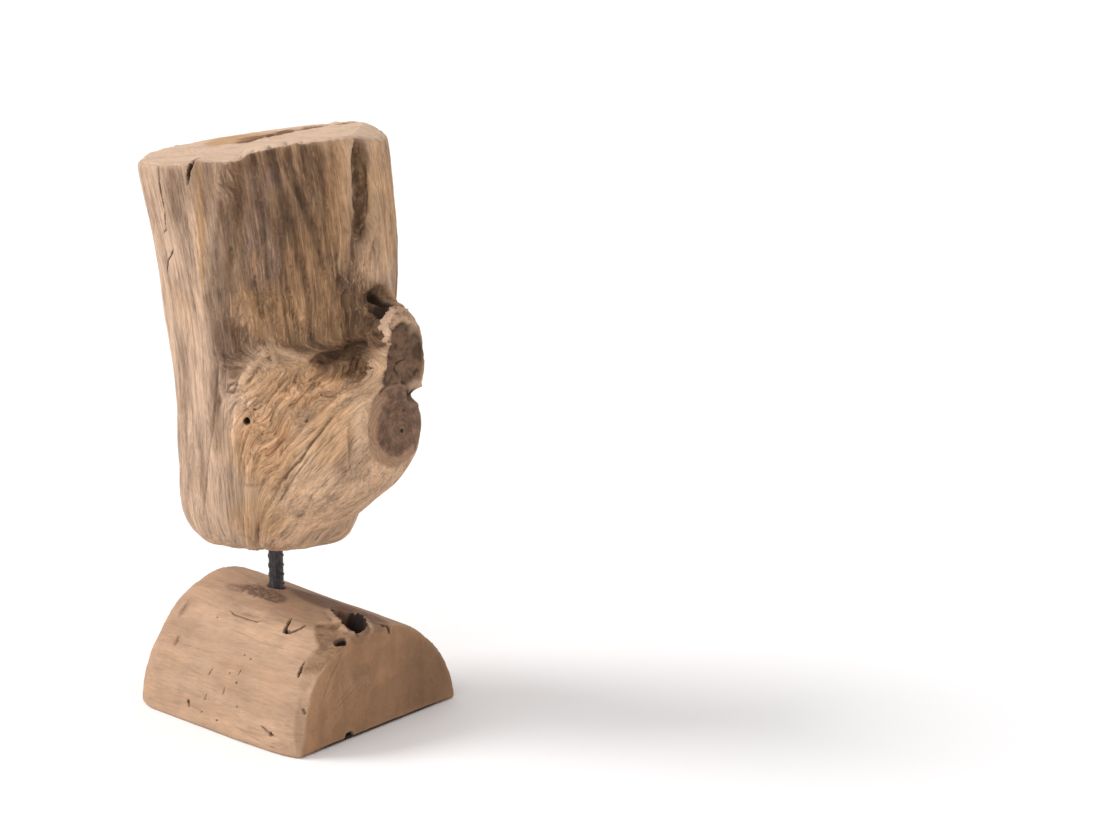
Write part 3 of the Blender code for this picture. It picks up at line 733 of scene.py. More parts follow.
class Finish:
    """A procedural material for one piece."""

    def __init__(self, name):
        self.material = bpy.data.materials.new(name)
        self.material.use_nodes = True
        self.tree = self.material.node_tree
        self.surface = self.tree.nodes["Principled BSDF"]

    def node(self, kind, settings=None, sockets=None, output=0):
        made = self.tree.nodes.new(kind)
        for name, value in (settings or {}).items():
            setattr(made, name, value)
        for key, value in (sockets or {}).items():
            self.feed(made.inputs[key], value)
        return Number(self, made.outputs[output])

    def feed(self, socket, value):
        if isinstance(value, Number):
            self.tree.links.new(value.socket, socket)
        else:
            socket.default_value = value

    def painted(self, name):
        """A number kept for each point of the piece."""
        return self.node("ShaderNodeAttribute", {"attribute_name": name}, output=2)

    def place(self, name):
        """A row of three numbers kept for each point of the piece."""
        return self.node("ShaderNodeAttribute", {"attribute_name": name}, output=1)

    def own_place(self):
        """Where the point lies on the piece."""
        return self.node("ShaderNodeTexCoord", output=3)

    def noise(self, place, sizes, detail=3.0, roughness=0.55, shift=0.0, warp=0.0):
        """Noise from 0 to 1 whose lumps are sizes metres long each way."""
        scaled = self.node(
            "ShaderNodeVectorMath",
            {"operation": "MULTIPLY_ADD"},
            {0: place, 1: tuple(1 / size for size in sizes), 2: (shift, shift * 1.7, shift * 0.6)},
        )
        return self.node(
            "ShaderNodeTexNoise",
            {},
            {"Vector": scaled, "Scale": 1.0, "Detail": detail, "Roughness": roughness, "Distortion": warp},
        )

    def between(self, value, low, high):
        """0 where value is at low, 1 where it is at high, eased between."""
        return self.node(
            "ShaderNodeMapRange", {"interpolation_type": "SMOOTHSTEP"},
            {"Value": value, "From Min": low, "From Max": high},
        )

    def mix(self, share, first, second):
        """The first colour where share is 0, the second where it is 1."""
        row = [(*c, 1.0) if isinstance(c, tuple) and len(c) == 3 else c for c in (first, second)]
        return self.node("ShaderNodeMix", {"data_type": "RGBA"}, {0: share, 6: row[0], 7: row[1]}, output=2)

    def scaled(self, tone, amount):
        """The colour made lighter or darker by amount."""
        return self.node("ShaderNodeVectorMath", {"operation": "SCALE"}, {0: tone, "Scale": amount})

    def bump(self, height, distance, strength=1.0):
        return self.node("ShaderNodeBump", {}, {"Strength": strength, "Distance": distance, "Height": height})

    def give(self, **sockets):
        for name, value in sockets.items():
            self.feed(self.surface.inputs[name.replace("_", " ").title().replace("Ior", "IOR")], value)
        return self.material


def times(tone, amount):
    """A plain colour made lighter or darker by amount."""
    return tuple(c * amount for c in tone)


def colour(name, text, default):
    return FloatVectorProperty(
        name=name, description=text, subtype="COLOR", size=3, min=0, max=1, default=default)


def length(name, text, default):
    return FloatProperty(name=name, description=text, unit="LENGTH", precision=5, min=0, default=default)


class DriftwoodSettings(bpy.types.PropertyGroup):
    mesh_step: length("Mesh step", "How wide the faces of the mesh are", 0.00145)
    grain_depth: length("Grain depth", "How deep the worn grain is", 0.0008)
    rough_depth: length("Rough depth", "How deep the fibrous places are torn", 0.0015)
    pale: colour("Pale", "Sanded, bleached wood", (0.52, 0.35, 0.24))
    warm: colour("Warm", "Clean wood with some resin", (0.545, 0.345, 0.206))
    brown: colour("Brown", "Weathered wood", (0.148, 0.080, 0.042))
    grey: colour("Grey", "Silvered wood", (0.235, 0.145, 0.106))
    gold: colour("Gold", "Resinous wood", (0.43, 0.24, 0.115))
    # Dark is the colour of painted shade deep inside cracks and hollows.
    dark: colour("Dark", "Inside cracks and hollows", (0.045, 0.024, 0.015))
    sawn: colour("Sawn", "The sawn top", (0.68, 0.47, 0.33))
    heart: colour("Heart", "The sawn branch", (0.178, 0.098, 0.058))


class LogSettings(bpy.types.PropertyGroup):
    mesh_step: length("Mesh step", "How wide the faces of the mesh are", 0.0014)
    grain_depth: length("Grain depth", "How deep the grain is", 0.00025)
    side: colour("Side", "The long side", (0.485, 0.31, 0.20))
    shade: colour("Shade", "Darker grain", (0.36, 0.215, 0.13))
    end: colour("End", "The sawn end", (0.345, 0.185, 0.095))
    bark: colour("Bark", "Bark and weathered skin", (0.165, 0.090, 0.055))
    # Dark is the colour of painted shade inside cracks and holes, and of the painted contact shadow under the
    # end.
    dark: colour("Dark", "Inside cracks and holes", (0.028, 0.016, 0.012))


class BarSettings(bpy.types.PropertyGroup):
    rib_height: length("Rib height", "How far the ribs stand out", 0.0007)
    rib_spacing: length("Rib spacing", "From one rib to the next", 0.0077)
    rib_width: length("Rib width", "How wide a rib is", 0.0017)
    rib_climb: length("Rib climb", "How far a rib climbs on its way round one side", 0.0095)
    around: IntProperty(name="Faces around", description="Faces round the bar", default=96, min=24)
    steel: colour("Steel", "Mill scale", (0.034, 0.030, 0.033))
    worn: colour("Worn steel", "Where the scale is rubbed", (0.12, 0.115, 0.12))


class StudioSettings(bpy.types.PropertyGroup):
    camera_place: FloatVectorProperty(
        name="Camera place", description="Where the camera stands", subtype="TRANSLATION",
        unit="LENGTH", default=(1.136, -0.993, 0.570))
    camera_turn: FloatProperty(
        name="Camera turn", description="How far the camera looks round to its left from +Y",
        unit="ROTATION", default=math.radians(40.7))
    camera_pitch: FloatProperty(
        name="Camera pitch", description="How far it looks down", unit="ROTATION", default=math.radians(13.0))
    lens: FloatProperty(name="Lens", description="Focal length in millimetres", default=65.45)
    floor: colour("Floor", "The plain floor", (0.92, 0.90, 0.90))
    sky: FloatProperty(name="Sky", description="Strength of the light from all round", default=0.72)
    sun: FloatProperty(name="Main light", description="Strength of the light from the left", default=1.95)
    fill: FloatProperty(
        name="Fill", description="Strength of the wide light from the front left", default=0.62)
    sun_height: FloatProperty(
        name="Main light height", description="Its angle above the floor", unit="ROTATION",
        default=math.radians(42))
    sun_turn: FloatProperty(
        name="Main light turn", description="How far it comes from behind the left side", unit="ROTATION",
        default=math.radians(9))
    sun_softness: FloatProperty(
        name="Softness", description="How wide the main light looks", unit="ROTATION",
        default=math.radians(26))


def drift_grain(points):
    """Each point's place in the grain: two ways across the fibres, then along them.

    The trunk's fibres follow its taper and wind a little; the branch's run up to the sawn stub.
    """
    x, y, z = points.T
    turn = -0.24 * (1 - np.exp(-(440 - z) / 90))
    width = np.interp(z, (130, 160, 250, 320, 400, 455), (62, 71, 79, 86, 92, 95))
    across = (x * np.cos(turn) - y * np.sin(turn)) * 85 / width
    depth = (x * np.sin(turn) + y * np.cos(turn)) * 85 / width
    trunk = np.stack((across, depth, z), axis=1)

    ways = (0.66, -0.12, 0.742), (0.747, 0, -0.665), (0.08, 0.993, 0.09)
    meeting = np.array((-8.0, -76.0, 220.0))
    ahead, aside, deep = ((points - meeting) @ np.array(way) for way in ways)
    aside = np.where(aside < 0, aside * (1 + np.clip(ahead, -40, 120) / 105), aside)
    branch = np.stack((aside - 8, deep - 76, ahead + 220), axis=1)

    right = eased((x + 14 + (z - 200) * 0.1) / 34 + 0.5)
    below = eased((278 + 0.1 * x - z) / 26 + 0.5)
    front = np.maximum(eased((-12 - y) / 36), eased((x - 78) / 16) * eased((34 - y) / 60))
    share = (right * below * front)[:, None]
    return trunk * (1 - share) + branch * share


def smooth_cuts(surface):
    """Wears the facets off all but the saw cuts. Gives which points lie on the sawn top and on the sawn
    branch, and which on the top's rim."""
    x, y, z = surface.points.T
    off_top = np.abs(z - TOP_HEIGHT - TOP_SLOPE * x - TOP_TILT * y)
    over_edge = z - TOP_HEIGHT - TOP_SLOPE * EDGE_FROM
    off_edge = np.abs(over_edge - EDGE_SLOPE * (x - EDGE_FROM) - TOP_TILT * y)
    off_saw = np.abs((surface.points - SAW_POINT) @ SAW_NORMAL)
    facing = surface.normals()
    on_top = ((np.minimum(off_top, off_edge) < 1.4) & (facing[:, 2] > 0.85) & (z > 405)).astype(float)
    on_saw = ((off_saw < 1.2) & (facing @ SAW_NORMAL > 0.9) & (x > 70)).astype(float)
    near_cut = np.minimum(np.minimum(off_top, off_edge), np.where(x > 60, off_saw, 99))
    surface.relax(30, eased((near_cut - 0.5) / 6.0)[:, None])
    surface.store()
    sawn_top = surface.smoothed(on_top[:, None], 2)[:, 0]
    on_saw = surface.smoothed(on_saw[:, None], 2)[:, 0]
    rim = np.clip(4 * surface.smoothed(on_top[:, None], 8)[:, 0], 0, 4)
    return sawn_top, on_saw, np.clip(rim * (4 - rim) / 4, 0, 1)


def worn_grain(points, grain, settings, plain, rough, old):
    """How far the grain and the torn places stand out, and the grain as it runs where it is torn."""
    depth = settings.grain_depth / MM
    bent = grain + layered(grain / (26, 26, 70), 2, seed=15)[:, None] * (5.0, 5.0, 0)
    waves = layered(grain / (24, 24, 90), 2, seed=1)
    flutes = layered(bent / (10, 10, 80), 2, seed=5)
    ribs = layered(bent / (4.2, 4.2, 40), 2, seed=9)
    lines = np.abs(layered(bent / (2.2, 2.2, 30), 2, seed=12)) - 0.25
    warp = np.stack([layered(points / 30, 2, seed=20 + i) for i in range(3)], axis=1) * 7
    torn = grain + warp * (1, 1, 2)
    strands = layered(torn / (4.6, 4.6, 55), 2, seed=31)
    threads = np.abs(layered(torn / (2.1, 2.1, 20), 2, seed=34)) - 0.25
    lumps = layered((grain + warp) / (11, 11, 26), 2, seed=35)
    sheets = layered(torn / (7, 7, 48), 2, seed=37) * 2.8
    flakes = (1 - (sheets - np.floor(sheets))) ** 1.6 * (0.6 + layered(points / 16, 2, seed=39))
    lift = waves * (1.6 * plain + 0.1)
    lift += flutes * depth * (0.5 + 2.2 * old) * plain
    lift += ribs * depth * (0.25 + 0.9 * old) * plain * (1 - 0.4 * rough)
    lift += lines * depth * (0.25 + 0.35 * old) * plain * (1 - 0.6 * rough)
    lift += (strands * 1.5 + threads * 0.9 + lumps * 2.4) * settings.rough_depth / MM * rough
    lift += flakes * plain * (0.2 + 2.0 * rough + 0.7 * old)
    return lift, torn


def curled_rim(points, gap, share):
    """Where the ragged rim over the lobe stands, from the gap to its line and the share along it."""
    ragged = layered(points / (3.4, 3.4, 2.2), 3, seed=55)
    broad = np.interp(share, (0, 0.2, 0.4, 0.6, 1), (0.6, 1.6, 2.6, 1.8, 0.8))
    curl = 1 - eased((gap + ragged * 2.4 - broad) / 1.3)
    return curl * eased(share / 0.1)


class DRIFTWOOD_OT_trunk(bpy.types.Operator):
    """Build the driftwood from its CAD solid and wear it"""

    bl_idname = "driftwood.trunk"
    bl_label = "Driftwood"

    def execute(self, context):
        settings = context.scene.driftwood
        piece = even_copy("driftwood", "drift_trunk", settings.mesh_step)
        fine = [(line, half + 1.6) for line, half, depth, dark in DRIFT_GROOVES.values() if half < 2.3]
        fine += [(spot(middle), radius + 2.0) for middle, radius, _, _ in DRIFT_HOLES.values()]
        fine += [(CURL, 7.0), (TORN_MIDDLE, 24.0)]
        refine(piece, DRIFT_TURN, fine)
        surface = Surface(piece, DRIFT_TURN)

        sawn_top, on_saw, rim = smooth_cuts(surface)

        # The sawn stub, and the lobe of end grain above it.
        points = surface.points
        out = points - STUB_MIDDLE
        stub_share = np.hypot(out @ STUB_ACROSS / STUB_HALF_WIDTH, out[:, 2] / STUB_HALF_HEIGHT)
        stub_share += layered(points / 14, 2, seed=3) * 0.05
        stub = on_saw * (1 - eased((stub_share - 0.97) / 0.07))
        over_stub = eased((points[:, 2] - 246) / 12)
        lobe = on_saw * eased((stub_share - 0.97) / 0.07) * over_stub
        spread = beside(points, drawn_on(piece, surface.turned, LOBE_EDGE))[0]
        spread = spread + layered(points / 5, 2, seed=4) * 1.2
        lobe = np.maximum(lobe, (1 - eased((spread - 3.2) / 1.6)) * (1 - stub))

        # The front rim rises to the right and is worn at the left.
        rise = np.interp(points[:, 0], *zip(*RIM_RISE))
        points[:, 2] += rise * eased((-points[:, 1] - 6) / 50) * eased((points[:, 2] - 400) / 30)
        surface.store()

        # Wear: waves and flutes along the grain, the torn places, and chips off the sawn edges.
        normals = unit(surface.smoothed(surface.normals(), 8))
        grain = drift_grain(points)
        plain = 1 - np.maximum(sawn_top, stub)
        rough = np.clip(sum(s * inside(points, m, h) for m, h, s in DRIFT_ROUGH), 0, 1) * plain
        old = stain(points, DRIFT_STAINS, "brown")
        lift, torn = worn_grain(points, grain, settings, plain, rough, old)
        chips = np.abs(layered(grain / (6, 6, 400), 2, seed=44))
        lift -= rim * (0.8 + chips * (0.8 + 2.8 * eased((20 - points[:, 1]) / 60)))
        lift -= sawn_top * np.abs(layered(points / (26, 7, 400), 2, seed=46)) * 0.6
        lift -= stub * np.abs(layered(points / (9, 9, 5), 3, seed=48)) * 0.9
        lift -= lobe * (1.5 + 3.0 * np.abs(layered(points / 11, 3, seed=49)))

        sunk, dark = carve(surface, DRIFT_GROOVES, DRIFT_RIDGES, DRIFT_HOLES)
        gap, share = beside(points, drawn_on(piece, surface.turned, CURL))
        curl = curled_rim(points, gap, share)
        to_left, down = -(out @ STUB_ACROSS) / STUB_HALF_WIDTH, -out[:, 2] / STUB_HALF_HEIGHT
        worn_side = eased((stub_share - 0.60) / 0.24) * eased((to_left * 0.8 + down * 0.6 + 0.4) / 0.5)
        # The curl's foot is painted brighter, as if sunlit; towards its top less painted light falls.
        unlit_top_share = eased((share - 0.55) / 0.25)
        fibres = np.abs(layered(points / (2.0, 2.0, 6.0), 2, seed=57))
        surface.points = points + normals * (lift - sunk * (1 - curl) + curl * (2.2 + 1.8 * fibres))[:, None]
        behind = -((points - SAW_POINT) @ SAW_NORMAL)
        wane = eased((stub_share - 0.72) / 0.7) * (1 - over_stub) * (1 - eased((np.abs(behind) - 1) / 14))
        surface.points -= SAW_NORMAL * (wane * 6.5 * (points[:, 0] > 70))[:, None]

        clear_bar_hole(surface.points, surface.points[:, 2] < BAR_HOLE_TOP)
        surface.store()

        # How hollow or proud each point lies; the finish turns this into painted shade in hollows and painted
        # highlights on proud places.
        hollow = shading(surface, 3, 0.35) * 0.3 + shading(surface, 26, 1.6) * 0.7
        to_pith = np.where(
            points[:, 2] > 360,
            np.linalg.norm((points - TOP_PITH)[:, :2] * (0.85, 1.0), axis=1),
            np.linalg.norm(np.cross(points - STUB_PITH, SAW_NORMAL), axis=1),
        )
        # dark holds the painted shade of grooves, cracks and holes.
        painted = {
            "grain": grain * MM, "torn": torn * MM, "ring": to_pith * MM, "hollow": np.clip(hollow, 0, 1),
            "proud": np.clip(-hollow, 0, 1), "dark": dark * (1 - curl), "rough": rough, "sawn_top": sawn_top,
            "stub": stub, "wane": worn_side, "lobe": lobe, "curl": curl * (1 - 0.45 * unlit_top_share),
        }
        painted |= {name.replace(" ", "_"): stain(points, DRIFT_STAINS, name)
                    for name in ("brown", "grey", "gold", "pale", "top gold", "top brown")}
        front = eased((points[:, 0] - points[:, 1] * 0.3 + 10) / 40)
        painted["gold"] = np.clip(painted["gold"] + 0.4 * front, 0, 1)
        for name, values in painted.items():
            surface.paint(name, values)

        lighten(piece, TRUNK_TRIANGLES)
        piece.data.materials.append(drift_finish(settings))
        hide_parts("driftwood")
        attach(piece, "root")
        return {"FINISHED"}


def drift_finish(settings):
    """Weathered wood: streaks along the grain, stains, painted shade in hollows and cracks, painted
    highlights on proud places, and what is sawn.
    """
    wood = Finish("weathered_wood")
    rough = wood.painted("rough")
    straight, torn = wood.place("grain"), wood.place("torn")
    grain = wood.node("ShaderNodeMix", {"data_type": "VECTOR"}, {0: rough, 4: straight, 5: torn}, output=1)
    broad = wood.noise(grain, (0.012, 0.012, 0.09), detail=3, warp=0.4)
    bands = wood.noise(grain, (0.0042, 0.0042, 0.08), detail=4, shift=3.1)
    lines = wood.noise(grain, (0.0016, 0.0016, 0.036), detail=5, roughness=0.68, shift=7.7)
    hairs = wood.noise(grain, (0.0007, 0.0007, 0.012), detail=3, roughness=0.7, shift=12.9)
    blots = wood.noise(grain, (0.013, 0.013, 0.034), detail=4, roughness=0.6, shift=21.0)
    specks = wood.noise(grain, (0.0022, 0.0022, 0.0034), detail=3, roughness=0.7, shift=27.0)

    brown, grey, gold, pale = (wood.painted(name) for name in ("brown", "grey", "gold", "pale"))
    hollow, proud, dark = (wood.painted(name) for name in ("hollow", "proud", "dark"))

    patches = ((broad - 0.5) * 1.1 + (bands - 0.5) * 0.9) * (0.5 + 0.5 * brown)
    aged = wood.between(brown * 0.95 + patches + 0.03, 0.0, 0.8)
    light = wood.mix(wood.between(gold, 0.0, 0.7), tuple(settings.pale), tuple(settings.warm))
    tone = wood.mix(aged, light, tuple(settings.brown))
    silver = wood.between(grey * 0.9 + (blots - 0.5) * 0.9, 0.25, 0.85)
    tone = wood.mix(silver * 0.7, tone, tuple(settings.grey))
    honey = wood.between(gold * 0.9 + (bands - 0.5) * 1.0 + (broad - 0.5) * 1.0, 0.2, 0.95)
    tone = wood.mix(honey * (0.55 - brown * 0.1), tone, tuple(settings.gold))
    bleach = wood.between(pale * 0.9 + (lines - 0.5) * 0.9, 0.3, 0.9)
    tone = wood.mix(bleach * 0.8, tone, wood.scaled(light, 1.2))
    moss = wood.between(blots - specks * 0.4, 0.34, 0.5) * wood.between(brown, 0.3, 0.9)
    tone = wood.mix(moss * 0.4, tone, (0.26, 0.175, 0.085))

    light_line = wood.between(lines, 0.54, 0.68)
    tone = wood.mix(light_line * (0.25 + 0.45 * rough), tone, wood.scaled(light, 1.15))
    tone = wood.mix(wood.between(specks, 0.58, 0.74) * (0.15 + brown * 0.3), tone, tuple(settings.gold))
    vein = (0.19, 0.092, 0.036)
    tone = wood.mix(wood.between(lines, 0.44, 0.31) * (0.2 + 0.3 * brown), tone, vein)
    tone = wood.mix(wood.between(hairs, 0.42, 0.28) * (0.22 + 0.12 * brown), tone, vein)
    shade = 1.0 + rough * 0.3 + (lines - 0.5) * 1.4 + (bands - 0.5) * 1.6
    tone = wood.scaled(tone, shade + (hairs - 0.5) * 1.5 + (blots - 0.5) * 1.4)
    # Painted highlights on proud places and painted shade in hollows.
    tone = wood.mix(proud * (0.55 - brown * 0.45), tone, wood.scaled(light, 1.2))
    tone = wood.mix(wood.between(hollow, 0.1, 1.0) * (0.75 - 0.25 * rough), tone, times(settings.brown, 0.5))

    # The lobe over the stub is worn end grain, and the rim that curls over it is fresh and fibrous, with a
    # painted highlight towards its foot where the sun falls.
    place = wood.own_place()
    spots = wood.noise(place, (0.008, 0.008, 0.008), detail=5, roughness=0.65, shift=6.0)
    tone = wood.mix(wood.painted("lobe") * 0.95, tone, lobe_tone(wood, settings, spots, hollow, pale))
    # Painted shade in grooves, cracks and holes: soft brown where shallow, near black where deep.
    tone = wood.mix(wood.between(dark, 0.0, 0.6) * 0.8, tone, times(settings.brown, 0.5))
    tone = wood.mix(wood.between(dark, 0.6, 1.0), tone, tuple(settings.dark))
    # Painted highlight: the fresh curl is brighter towards its foot, as if the sun falls there, and dimmer
    # towards its top.
    curl = wood.painted("curl")
    fresh_and_sunlit = wood.scaled(times(settings.pale, 1.15), 0.75 + curl * 0.55 + (specks - 0.5) * 1.2)
    tone = wood.mix(wood.between(curl, 0.1, 0.7) * 0.92, tone, fresh_and_sunlit)

    cloud = wood.noise(place, (0.03, 0.012, 0.05), detail=4, roughness=0.6, shift=2.0)
    drift = wood.noise(straight, (0.02, 0.02, 0.05), detail=2, shift=33.0)
    top_cut = sawn_top_tone(wood, settings, straight, drift, cloud, hollow, dark)
    tone = wood.mix(wood.painted("sawn_top"), tone, top_cut)
    stub_cut = sawn_stub_tone(wood, settings, drift, cloud, spots, specks, hollow, proud, dark)
    tone = wood.mix(wood.painted("stub"), tone, stub_cut)

    height = lines * 0.6 + hairs * 0.35 + bands * 0.6 + specks * (0.15 + rough * 0.5)
    return wood.give(
        base_color=tone,
        roughness=wood.between(lines, 0.2, 0.9) * 0.16 + 0.68,
        specular_ior_level=0.3,
        normal=wood.bump(height, 0.0016, 0.9),
    )


def lobe_tone(wood, settings, spots, hollow, pale):
    """Brown end grain, with painted shade where it is hollow, and bleached in places."""
    tone = wood.mix(
        wood.between(spots, 0.38, 0.62),
        times(settings.heart, 0.62), times(settings.heart, 1.15))
    # Painted shade in the hollows.
    tone = wood.mix(wood.between(hollow, 0.1, 0.8) * 0.7, tone, tuple(settings.dark))
    return wood.mix(pale, tone, times(settings.pale, 0.95))


def sawn_top_tone(wood, settings, grain, drift, cloud, hollow, dark):
    """A pale saw cut with rings and pores, stained gold and brown at the back, with painted shade in its
    hollows and cracks.
    """
    pores = wood.noise(grain, (0.0011, 0.0011, 0.02), detail=3, roughness=0.7, shift=41.0)
    wave = ((wood.painted("ring") + drift * 0.012) * 1500.0).wave()
    cut = wood.mix(wood.between(wave, -0.9, 1.0) * 0.25, tuple(settings.sawn), times(settings.sawn, 0.7))
    cut = wood.mix(wood.between(cloud, 0.45, 0.68) * 0.5, cut, times(settings.sawn, 0.66))
    golden = wood.between(wood.painted("top_gold") + (cloud - 0.5) * 1.4 + (pores - 0.5), 0.3, 0.9)
    cut = wood.mix(golden * 0.8, cut, (0.50, 0.27, 0.115))
    old_cut = wood.between(wood.painted("top_brown") + (cloud - 0.5) * 0.8 + (pores - 0.5) * 1.4, 0.2, 0.7)
    cut = wood.mix(old_cut * 0.9, cut, (0.22, 0.105, 0.05))
    cut = wood.mix(wood.between(pores, 0.42, 0.30) * 0.35, cut, times(settings.sawn, 0.4))
    # Painted shade in hollows, then in cracks.
    cut = wood.mix(wood.between(hollow, 0.05, 0.6) * 0.7, cut, tuple(settings.brown))
    return wood.mix(dark, cut, tuple(settings.dark))


def sawn_stub_tone(wood, settings, drift, cloud, spots, specks, hollow, proud, dark):
    """A dark saw cut with tight rings, rubbed paler at its lower left, with painted highlights on proud
    places and painted shade in hollows and cracks.
    """
    tight = ((wood.painted("ring") + drift * 0.016 + spots * 0.0024) * 2300.0).wave()
    heart = wood.mix(
        wood.between(tight, -1.0, 1.0) * 0.22 + (spots - 0.5) * 3.6 + (specks - 0.5) * 1.2 + 0.2,
        times(settings.heart, 0.75), times(settings.heart, 1.7))
    heart = wood.mix(wood.between(cloud, 0.52, 0.7) * 0.5, heart, times(settings.heart, 0.6))
    heart = wood.mix(wood.between(specks, 0.42, 0.30) * 0.5, heart, tuple(settings.dark))
    wane = wood.between(wood.painted("wane") + (spots - 0.5) * 1.0 + (specks - 0.5) * 0.5, 0.2, 0.9)
    rubbed = wood.scaled((0.40, 0.23, 0.138), 1.0 + tight * 0.10 + (spots - 0.5) * 0.8)
    heart = wood.mix(wane * 0.92, heart, rubbed)
    # Painted highlights on proud places, painted shade in hollows and cracks.
    heart = wood.mix(proud * 0.5, heart, times(settings.pale, 0.6))
    heart = wood.mix(wood.between(hollow, 0.1, 0.8) * 0.6, heart, tuple(settings.dark))
    return wood.mix(dark, heart, tuple(settings.dark))


def break_edge(surface):
    """Takes off what stands proud of the slant between each pair of places along the log's edge. Gives
    where it is broken, and where the break is crumbly."""
    points = surface.points
    outer, inner = (np.array(side, float) for side in zip(*LOG_CHIP))
    middle = (outer + inner) / 2
    gap, share = beside(points, middle)
    steps = np.linalg.norm(np.diff(middle, axis=0), axis=1)
    stops = np.concatenate(((0.0,), np.cumsum(steps))) / steps.sum()

    def here(values):
        return np.stack([np.interp(share, stops, values[:, i]) for i in range(3)], axis=1)

    edge_out, edge_in = here(outer), here(inner)
    along = here(np.gradient(middle, axis=0))
    slant = unit(np.cross(along, edge_in - edge_out))
    slant *= np.sign(slant[:, :1] - slant[:, 1:2])
    proud = np.einsum("ij,ij->i", points - edge_out, slant)
    half_width = np.interp(share, stops, np.linalg.norm(outer - inner, axis=1) / 2)
    broken = np.clip(proud + 0.3, 0, 30) * (1 - eased((gap - half_width - 1) / 6)) * eased(share / 0.05)
    chipped = eased(broken / 0.8)
    surface.points = points - slant * broken[:, None]
    surface.store()
    return chipped, chipped * (1 - 0.85 * eased((share - 0.44) / 0.1))


class DRIFTWOOD_OT_log(bpy.types.Operator):
    """Build the half-round log that the driftwood stands on"""

    bl_idname = "driftwood.log"
    bl_label = "Base log"

    def execute(self, context):
        settings = context.scene.base_log
        piece = even_copy("base_log", "stand_log", settings.mesh_step)
        fine = [
            (line, half + 1.4)
            for line, half, depth, dark in LOG_GROOVES.values() if half < 2.1 or depth > DEEP
        ]
        fine += [(spot(middle), radius + 1.8) for middle, radius, _, _ in LOG_HOLES.values()]
        refine(piece, 0.0, fine)
        surface = Surface(piece)
        low, high = (np.array(corner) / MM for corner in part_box("base_log"))
        start = surface.points
        ends = np.minimum(start[:, 0] - low[0], high[0] - start[:, 0])
        surface.relax(26, eased((np.minimum(ends, start[:, 2]) - 0.8) / 5.0)[:, None])
        surface.store()

        points = surface.points
        facing = surface.normals()
        away = points[:, 1] - LOG_MIDDLE_Y
        reach = np.hypot(away, points[:, 2] * 0.95)
        around = np.arctan2(points[:, 2], away) + 0.0004 * points[:, 0]
        grain = np.stack((reach * np.cos(around), reach * np.sin(around), points[:, 0]), axis=1)
        rough = np.clip(sum(s * inside(points, m, h) for m, h, s in LOG_ROUGH), 0, 1)

        chipped, crumbly = break_edge(surface)
        points = surface.points
        normals = unit(surface.smoothed(surface.normals(), 4))

        sawn_end = eased((facing[:, 0] - 0.75) / 0.2) * (points[:, 0] > high[0] - 3) * (1 - chipped)
        far_end = eased((-facing[:, 0] - 0.75) / 0.2) * (points[:, 0] < low[0] + 3)
        sawn_end = surface.smoothed((sawn_end + far_end)[:, None], 1)[:, 0]
        rough = np.maximum(rough * (1 - sawn_end) * (1 - chipped), crumbly * 0.45)
        depth = settings.grain_depth / MM
        waves = layered(grain / (20, 20, 90), 2, seed=61)
        ribs = np.abs(layered(grain / (4.5, 4.5, 60), 2, seed=64)) - 0.25
        lines = np.abs(layered(grain / (2.2, 2.2, 30), 2, seed=66)) - 0.25
        warp = np.stack([layered(points / 9, 2, seed=80 + i) for i in range(3)], axis=1) * 4
        crust = layered((points + warp) / (13, 4.5, 4.5), 2, seed=71)
        lift = waves * 0.7 * (1 - sawn_end)
        lift += (ribs * 2.2 + lines * 1.2) * depth * (1 - 0.8 * sawn_end)
        lift += layered(points / (14, 10, 13), 2, seed=73) * (0.4 * chipped + 1.4 * crumbly)
        lift += crust * 1.5 * rough + noise(points / 2.2, 75) * (0.05 + 0.12 * rough)
        lift -= np.abs(layered(points / (400, 12, 12), 2, seed=77)) * 0.5 * sawn_end
        sunk, dark = carve(surface, LOG_GROOVES, {}, LOG_HOLES)
        settled = eased(points[:, 2] / 3.0)
        surface.points = points + normals * ((lift - sunk) * settled)[:, None]
        clear_bar_hole(surface.points, surface.points[:, 2] > BAR_HOLE_BOTTOM)
        surface.points[:, 2] = np.maximum(surface.points[:, 2], 0.0)
        surface.store()

        # How hollow or proud each point lies, for painted shade in hollows and painted highlights on proud
        # places.
        hollow = shading(surface, 3, 0.25) * 0.55 + shading(surface, 20, 1.2) * 0.5
        arcs = np.hypot(points[:, 1] - 36, (points[:, 2] + 30) * 0.9) + 0.1 * points[:, 1]
        painted = {
            "grain": grain * MM, "ring": arcs * MM, "hollow": np.clip(hollow, 0, 1),
            "proud": np.clip(-hollow, 0, 1), "dark": dark, "rough": rough, "sawn_end": sawn_end,
            "chipped": crumbly,
        }
        painted |= {name: stain(points, LOG_STAINS, name) for name in ("bark", "shade", "light")}
        for name, values in painted.items():
            surface.paint(name, values)
        lighten(piece, LOG_TRIANGLES)
        piece.data.materials.append(log_finish(settings))
        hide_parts("base_log")
        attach(piece, "root")
        return {"FINISHED"}


